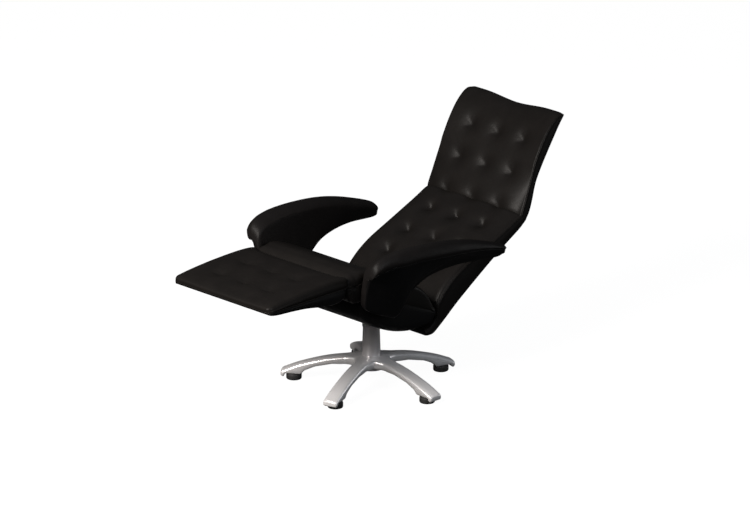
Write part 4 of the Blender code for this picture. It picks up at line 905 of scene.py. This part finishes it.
class Finish:
    """One material, with its nodes added by name and its varying inputs fed at the end."""

    def __init__(self, name, colour, roughness, metallic=0.0, **fixed):
        self.material = bpy.data.materials.new(name)
        self.material.use_nodes = True
        self.tree = self.material.node_tree
        self.shader = self.tree.nodes["Principled BSDF"]
        self.shader.inputs["Base Color"].default_value = (*colour, 1.0)
        self.shader.inputs["Roughness"].default_value = roughness
        self.shader.inputs["Metallic"].default_value = metallic
        for label, value in fixed.items():
            self.shader.inputs[label.replace("_", " ")].default_value = value

    def node(self, kind, settings=None, values=None):
        """Adds a node of one type, with its settings first and then what its inputs hold."""
        made = self.tree.nodes.new(kind)
        for label, value in (settings or {}).items():
            setattr(made, label, value)
        for label, value in (values or {}).items():
            if isinstance(value, Term):
                self.tree.links.new(value.socket, made.inputs[label])
            else:
                made.inputs[label].default_value = value
        return made

    def place(self, stretch=EVEN):
        """Where a point lies on its own piece, stretched by axis."""
        spot = Term(self, self.node("ShaderNodeTexCoord").outputs["Object"])
        values = {"Vector": spot, "Scale": stretch}
        return Term(self, self.node("ShaderNodeMapping", None, values).outputs[0])

    def noise(self, scale, detail=3.0, rough=0.5, stretch=EVEN):
        """Soft irregular patches, from 0 to 1."""
        values = {"Vector": self.place(stretch), "Scale": scale, "Detail": detail, "Roughness": rough}
        return Term(self, self.node("ShaderNodeTexNoise", None, values).outputs[0])

    def pebbles(self, scale):
        """Height of a leather grain: rounded cells with narrow valleys."""
        settings = {"feature": "SMOOTH_F1"}
        values = {"Vector": self.place(), "Scale": scale, "Smoothness": 0.35}
        return 1.0 - Term(self, self.node("ShaderNodeTexVoronoi", settings, values).outputs["Distance"])

    def blend(self, share, first, second):
        """A colour that goes from the first to the second with its share."""
        values = {"Factor": share, 6: (*first, 1.0), 7: (*second, 1.0)}
        mixed = self.node("ShaderNodeMix", {"data_type": "RGBA"}, values)
        return Term(self, mixed.outputs[2])

    def colour(self, term):
        """Lets the base colour vary."""
        self.tree.links.new(term.socket, self.shader.inputs["Base Color"])

    def roughness(self, term):
        """Lets the roughness vary."""
        self.tree.links.new(term.socket, self.shader.inputs["Roughness"])

    def relief(self, height, strength, depth):
        """Raises the surface by a varying height."""
        values = {"Strength": strength, "Distance": depth, "Height": height}
        bumps = self.node("ShaderNodeBump", None, values)
        self.tree.links.new(bumps.outputs[0], self.shader.inputs["Normal"])


def leather(name, colour, worn, roughness, grain_scale, grain_depth):
    """Dyed leather: pebbled grain over soft creases, paler and smoother where it is rubbed."""
    finish = Finish(name, colour, roughness, Specular_IOR_Level=LEATHER_GLOSS)
    patches = finish.noise(6.0, 4.0, 0.6)
    rubbed = (finish.noise(17.0, 5.0, 0.62) - 0.42).above(0.0).below(0.3) * 3.0
    finish.colour(finish.blend(rubbed, colour, worn))
    finish.roughness(roughness - 0.05 * rubbed + 0.10 * (patches - 0.5))
    creases = finish.noise(55.0, 3.0, 0.55, (1.0, 1.6, 1.6))
    finish.relief(finish.pebbles(grain_scale) * grain_depth + creases, 0.30, 0.0011)
    return finish.material


def metal(name, colour, shade, roughness, stretch, depth, bare):
    """Satin metal: fine drawn lines or casting skin, with faint handling marks."""
    finish = Finish(name, colour, roughness, bare)
    lines = finish.noise(160.0, 3.0, 0.6, stretch)
    marks = finish.noise(9.0, 4.0, 0.6)
    finish.colour(finish.blend(marks, colour, shade))
    finish.roughness(roughness + 0.10 * (lines - 0.5) + 0.08 * (marks - 0.5))
    finish.relief(lines, 0.05, depth)
    return finish.material


def plain_finish(name, colour, shade, roughness, scale, depth):
    """Moulded, painted or rubber surface with a fine even texture."""
    finish = Finish(name, colour, roughness)
    marks = finish.noise(scale / 12.0, 3.0, 0.5)
    finish.colour(finish.blend(marks, colour, shade))
    finish.roughness(roughness + 0.10 * (marks - 0.5))
    finish.relief(finish.noise(scale, 2.0, 0.5), 0.2, depth)
    return finish.material


def wood(name):
    """Raw birch plywood: long grain with paler and darker bands."""
    finish = Finish(name, (0.55, 0.40, 0.24), 0.6)
    bands = finish.noise(9.0, 5.0, 0.6, (1.0, 0.08, 6.0))
    finish.colour(finish.blend(bands, (0.62, 0.47, 0.30), (0.42, 0.29, 0.17)))
    finish.relief(bands, 0.2, 0.0005)
    return finish.material


def make_finishes():
    """Every finish, by the name of its slot."""
    finishes = {slot: leather(*rest) for slot, *rest in LEATHERS}
    finishes.update((name, metal(name, *rest)) for name, *rest in METALS)
    finishes.update((name, plain_finish(name, *rest)) for name, *rest in PLAIN_FINISHES)
    finishes["plywood"] = wood("plywood")
    return finishes


def make_light(name, place, aim, size, power, colour):
    """A round lamp that points at a spot."""
    lamp = bpy.data.lights.new(name, "AREA")
    lamp.shape = "DISK"
    lamp.size = size
    lamp.energy = power
    lamp.color = colour
    made = bpy.data.objects.new(name, lamp)
    made.location = place
    made.rotation_euler = (Vector(aim) - Vector(place)).to_track_quat("-Z", "Y").to_euler()
    bpy.context.scene.collection.objects.link(made)


def make_studio():
    """A dim dome, brighter overhead, that the camera sees as plain white."""
    world = bpy.data.worlds.new("studio")
    bpy.context.scene.world = world
    world.use_nodes = True
    nodes, links = world.node_tree.nodes, world.node_tree.links
    seen = nodes.new("ShaderNodeLightPath")
    spot = nodes.new("ShaderNodeTexCoord")
    height = nodes.new("ShaderNodeSeparateXYZ")
    links.new(spot.outputs["Generated"], height.inputs[0])
    ramp = nodes.new("ShaderNodeValToRGB")
    stops = ramp.color_ramp.elements
    for _ in DOME[2:]:
        stops.new(1.0)
    for stop, (place, level) in zip(stops, DOME):
        stop.position = place
        stop.color = (*(level * tint for tint in DOME_TINT), 1.0)
    links.new(height.outputs["Z"], ramp.inputs[0])
    dim = world.node_tree.nodes["Background"]
    links.new(ramp.outputs[0], dim.inputs["Color"])
    white = nodes.new("ShaderNodeBackground")
    white.inputs["Color"].default_value = grey(1.0)
    chosen = nodes.new("ShaderNodeMixShader")
    links.new(seen.outputs["Is Camera Ray"], chosen.inputs[0])
    links.new(dim.outputs[0], chosen.inputs[1])
    links.new(white.outputs[0], chosen.inputs[2])
    links.new(chosen.outputs[0], nodes["World Output"].inputs["Surface"])
    for lamp in LAMPS:
        make_light(*lamp)


def make_floor():
    """A wide pale floor, white to the camera, that keeps a faint shadow."""
    work = bmesh.new()
    bmesh.ops.create_circle(work, cap_ends=True, segments=96, radius=FLOOR_RADIUS)
    mesh = bpy.data.meshes.new("floor")
    work.to_mesh(mesh)
    work.free()
    floor = bpy.data.objects.new("floor", mesh)
    floor.location = (0.0, 0.0, FLOOR_Z)
    bpy.context.scene.collection.objects.link(floor)
    finish = Finish("pale_floor", (0.80, 0.80, 0.80), 0.9, Specular_IOR_Level=0.0)
    tree = finish.tree
    seen = finish.node("ShaderNodeLightPath")

    def joined(kind, inputs):
        """What a node gives when other nodes feed its numbered inputs."""
        values = {place: Term(finish, socket) for place, socket in inputs.items()}
        return finish.node(kind, None, values).outputs[0]

    lit = finish.node("ShaderNodeBsdfDiffuse", None, {"Color": grey(FLOOR_SHADE)}).outputs[0]
    glow = finish.node("ShaderNodeEmission", None, {"Color": grey(1.0), "Strength": FLOOR_GLOW}).outputs[0]
    dull = finish.node("ShaderNodeBsdfDiffuse", None, {"Color": grey(FLOOR_BOUNCE)}).outputs[0]
    gleam = finish.node("ShaderNodeEmission", None, {"Color": grey(1.0), "Strength": FLOOR_GLEAM}).outputs[0]
    bright = joined("ShaderNodeAddShader", {0: lit, 1: glow})
    mirrored = joined("ShaderNodeMixShader", {0: seen.outputs["Is Glossy Ray"], 1: dull, 2: gleam})
    chosen = joined("ShaderNodeMixShader", {0: seen.outputs["Is Camera Ray"], 1: mirrored, 2: bright})
    tree.links.new(chosen, tree.nodes["Material Output"].inputs["Surface"])
    tree.nodes.remove(finish.shader)
    mesh.materials.append(finish.material)


def make_camera():
    """A distant camera, almost without perspective, as in the photograph."""
    view = bpy.data.cameras.new("camera")
    view.sensor_width = 36.0
    view.lens = view.sensor_width * CAMERA_DISTANCE * PIXELS_PER_METRE / IMAGE_WIDTH
    view.clip_end = 100.0
    camera = bpy.data.objects.new("camera", view)
    bpy.context.scene.collection.objects.link(camera)
    back = Vector(TOWARD_CAMERA).normalized()
    right = Vector(RIGHT_IN_VIEW)
    up = back.cross(right).normalized()
    target = right * AIM_RIGHT + up * AIM_UP
    camera.location = target + back * CAMERA_DISTANCE
    camera.rotation_euler = Matrix((right, up, back)).transposed().to_euler()
    bpy.context.scene.camera = camera


def declare(piece, nodes, body=None):
    """Hides the CAD parts that a piece stands in for, and hangs it on the body it rides on, if one is given.
    """
    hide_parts(*nodes)
    if body:
        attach(piece, body)


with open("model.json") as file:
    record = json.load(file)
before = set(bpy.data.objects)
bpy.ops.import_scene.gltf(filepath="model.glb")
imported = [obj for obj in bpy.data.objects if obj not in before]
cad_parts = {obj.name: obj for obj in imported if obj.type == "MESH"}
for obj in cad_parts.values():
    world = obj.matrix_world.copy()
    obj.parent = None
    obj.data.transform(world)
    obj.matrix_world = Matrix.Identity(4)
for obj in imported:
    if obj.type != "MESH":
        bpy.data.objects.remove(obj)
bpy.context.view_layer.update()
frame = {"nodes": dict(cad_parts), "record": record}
bpy.context.scene.view_settings.view_transform = "Standard"
make_camera()
make_studio()
make_floor()
finishes = make_finishes()
slots = {part["node"]: part["material_slot"] for part in frame["record"]["subparts"]}
for node, item in frame["nodes"].items():
    for place in item.material_slots:
        place.material = finishes[slots[node]]

back, seams = make_back(finishes["leather"])
declare(back, ("back_cushion", "back_shell", "head_cushion", "head_shell"))
# The rear cover is painted with shade: it gets the darker copy of the leather.
paint_shade_leather(back, finishes["back_leather"], on_rear)
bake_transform(back)
for name, path in seams.items():
    cord = piping(f"back_piping_{name}", path, BACK_PIPING, finishes["leather"])
    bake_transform(cord)
seat = make_seat(finishes["leather"])
declare(seat, ("seat_cushion",), "seat")
front_gusset = make_gusset("knee_gusset_front", *FRONT_GUSSET, finishes["leather"])
rear_gusset = make_gusset("knee_gusset_rear", *REAR_GUSSET, finishes["leather"])
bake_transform(front_gusset)
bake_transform(rear_gusset)
# The footrest's underside gets the darker leather, painted shade for a face turned to the floor.
lid, under, outline = make_footrest(finishes["leather"], finishes["back_leather"])
cord = piping("footrest_piping", outline, FOOT_PIPING, finishes["leather"])
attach(cord, "footrest")
declare(lid, ("footrest_cushion",), "footrest")
declare(under, ("footrest_underside",), "footrest")
# The belly gets the darker leather, painted shade under the seat.
belly = make_belly(finishes["back_leather"])
declare(belly, ("belly_shell",), "seat")
for side, name in ((1, "left"), (-1, "right")):
    rings, seam = arm_rings(side)
    arm = body_of_rings(f"arm_{name}", rings, finishes["grained_leather"])
    declare(arm, (f"arm_pad_{name}", f"arm_panel_{name}", f"arm_core_{name}"), "seat")
    # The outer panel below the seam faces outward and down; the darker leather paints its shade.
    paint_shade_leather(arm, finishes["back_leather"], lambda place: lower_outside(place, side))
    cord = piping(f"arm_piping_{name}", seam, ARM_PIPING, finishes["grained_leather"])
    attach(cord, "seat")
metalwork = [(make_star(finishes["satin_aluminium"]), "satin_aluminium", "star_base")]
metalwork += [(make_column(finishes["satin_steel"]), "satin_steel", "column_tube")]
metalwork += [(make_glide(k, finishes["black_rubber"]), "black_rubber", f"glide_{k + 1}") for k in range(5)]
for piece, slot, node in metalwork:
    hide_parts(node)
    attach(piece, "base")
